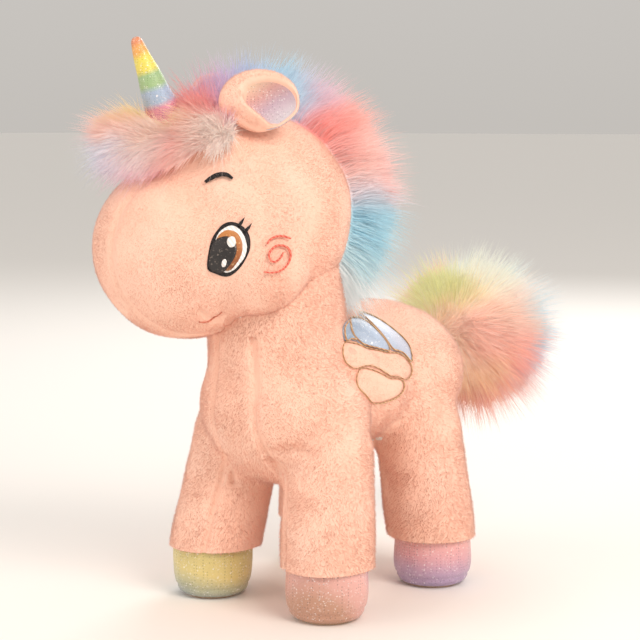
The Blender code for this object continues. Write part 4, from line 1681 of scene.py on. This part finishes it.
def tailLean(roots, facing):
    p = toolSpace(roots)
    away = p - np.array((0, 122, 136))
    return unit(away) * 0.8 + facing * 0.6


def tailKeep(roots, facing):
    return toolSpace(roots)[:, 1] > 105


growFur(tailCore, "tailFur", "tail", tailLean, tailAnchors, 11, (19, 34), tailKeep, 0.13)
print("long fur")


# what stays from the frame gets its real finish
def stuffingMaterial():
    # polyester fibrefill: white curly fibres in soft clumps, so it looks like dull cotton wool
    material, tree, shader = newMaterial("polyesterFibrefill", 0.95, Sheen_Weight=0.4)
    where = addNode(tree, "ShaderNodeTexCoord")
    clump = addNode(
        tree,
        "ShaderNodeTexNoise",
        {"Scale": 260.0, "Detail": 5.0, "Distortion": 1.2},
        {"Vector": (where, "Object")},
    )
    colours = addNode(tree, "ShaderNodeValToRGB", {}, {"Fac": (clump, "Fac")})
    fillRamp(colours, [(0.3, "#E6E2DA"), (0.7, "#FBFAF6")])
    tree.links.new(colours.outputs["Color"], shader.inputs["Base Color"])
    bump = addNode(
        tree, "ShaderNodeBump", {"Strength": 0.6, "Distance": 0.001}, {"Height": (clump, "Fac")}
    )
    tree.links.new(bump.outputs["Normal"], shader.inputs["Normal"])
    return material


fibrefill = stuffingMaterial()
soleCloth = glitterMaterial(
    "soleGlitterCloth",
    [(0.0, "#C9A98C"), (1.0, "#DDBFA2")],
    place(-60, 0, 0),
    Vector((0.12, 0, 0)),
    dots=1.2,
)
for nodeName, node in frame["nodes"].items():
    if "stuffing" in nodeName or nodeName == "tail_core":
        node.data.materials.clear()
        node.data.materials.append(fibrefill)
    elif nodeName.startswith("sole"):
        node.data.materials.clear()
        node.data.materials.append(soleCloth)
print("frame nodes finished")


studio = {"floor": "#F6F2ED", "far": "#E3DED8", "sky": "#F6F3EF", "worldLevel": 0.72}


def buildFloor():
    deselect()
    bpy.ops.mesh.primitive_plane_add(size=80, location=(0, 0, 0))
    floor = settle(bpy.context.object)
    floor.name = "floor"
    material, tree, shader = newMaterial("paintedFloor", 0.85)
    shader.inputs["Base Color"].default_value = (*toLinear(studio["floor"]), 1)
    floor.data.materials.append(material)


def addLamp(name, spot, size, watts, colour):
    deselect()
    bpy.ops.object.light_add(type="AREA", location=spot)
    lamp = bpy.context.object
    lamp.name = name
    lamp.data.size = size
    lamp.data.energy = watts
    lamp.data.color = toLinear(colour)
    lamp.rotation_euler = (Vector((0, 0, 0.14)) - Vector(spot)).to_track_quat("-Z", "Y").to_euler()


def buildLight():
    world = bpy.data.worlds.new("studio")
    bpy.context.scene.world = world
    world.use_nodes = True
    tree = world.node_tree
    background = tree.nodes["Background"]
    background.inputs["Strength"].default_value = studio["worldLevel"]
    # the sky pales upwards from the floor's own tone, so that no hard horizon shows
    where = addNode(tree, "ShaderNodeTexCoord")
    height = addNode(tree, "ShaderNodeSeparateXYZ", {}, {"Vector": (where, "Generated")})
    colours = addNode(tree, "ShaderNodeValToRGB", {}, {"Fac": (height, "Z")})
    fillRamp(colours, [(0.0, studio["far"]), (0.35, studio["sky"])])
    tree.links.new(colours.outputs["Color"], background.inputs["Color"])
    addLamp("key", (1.45, -0.45, 1.3), 0.9, 21, "#FFF4EA")
    addLamp("fill", (-0.9, -1.5, 0.8), 1.2, 8, "#FFF0E6")
    addLamp("rim", (-0.5, 1.3, 1.1), 0.8, 10, "#FFFFFF")
    # colours straight from the dyes, without a film curve over them
    bpy.context.scene.view_settings.view_transform = "Standard"


buildFloor()
buildLight()

print("ready")
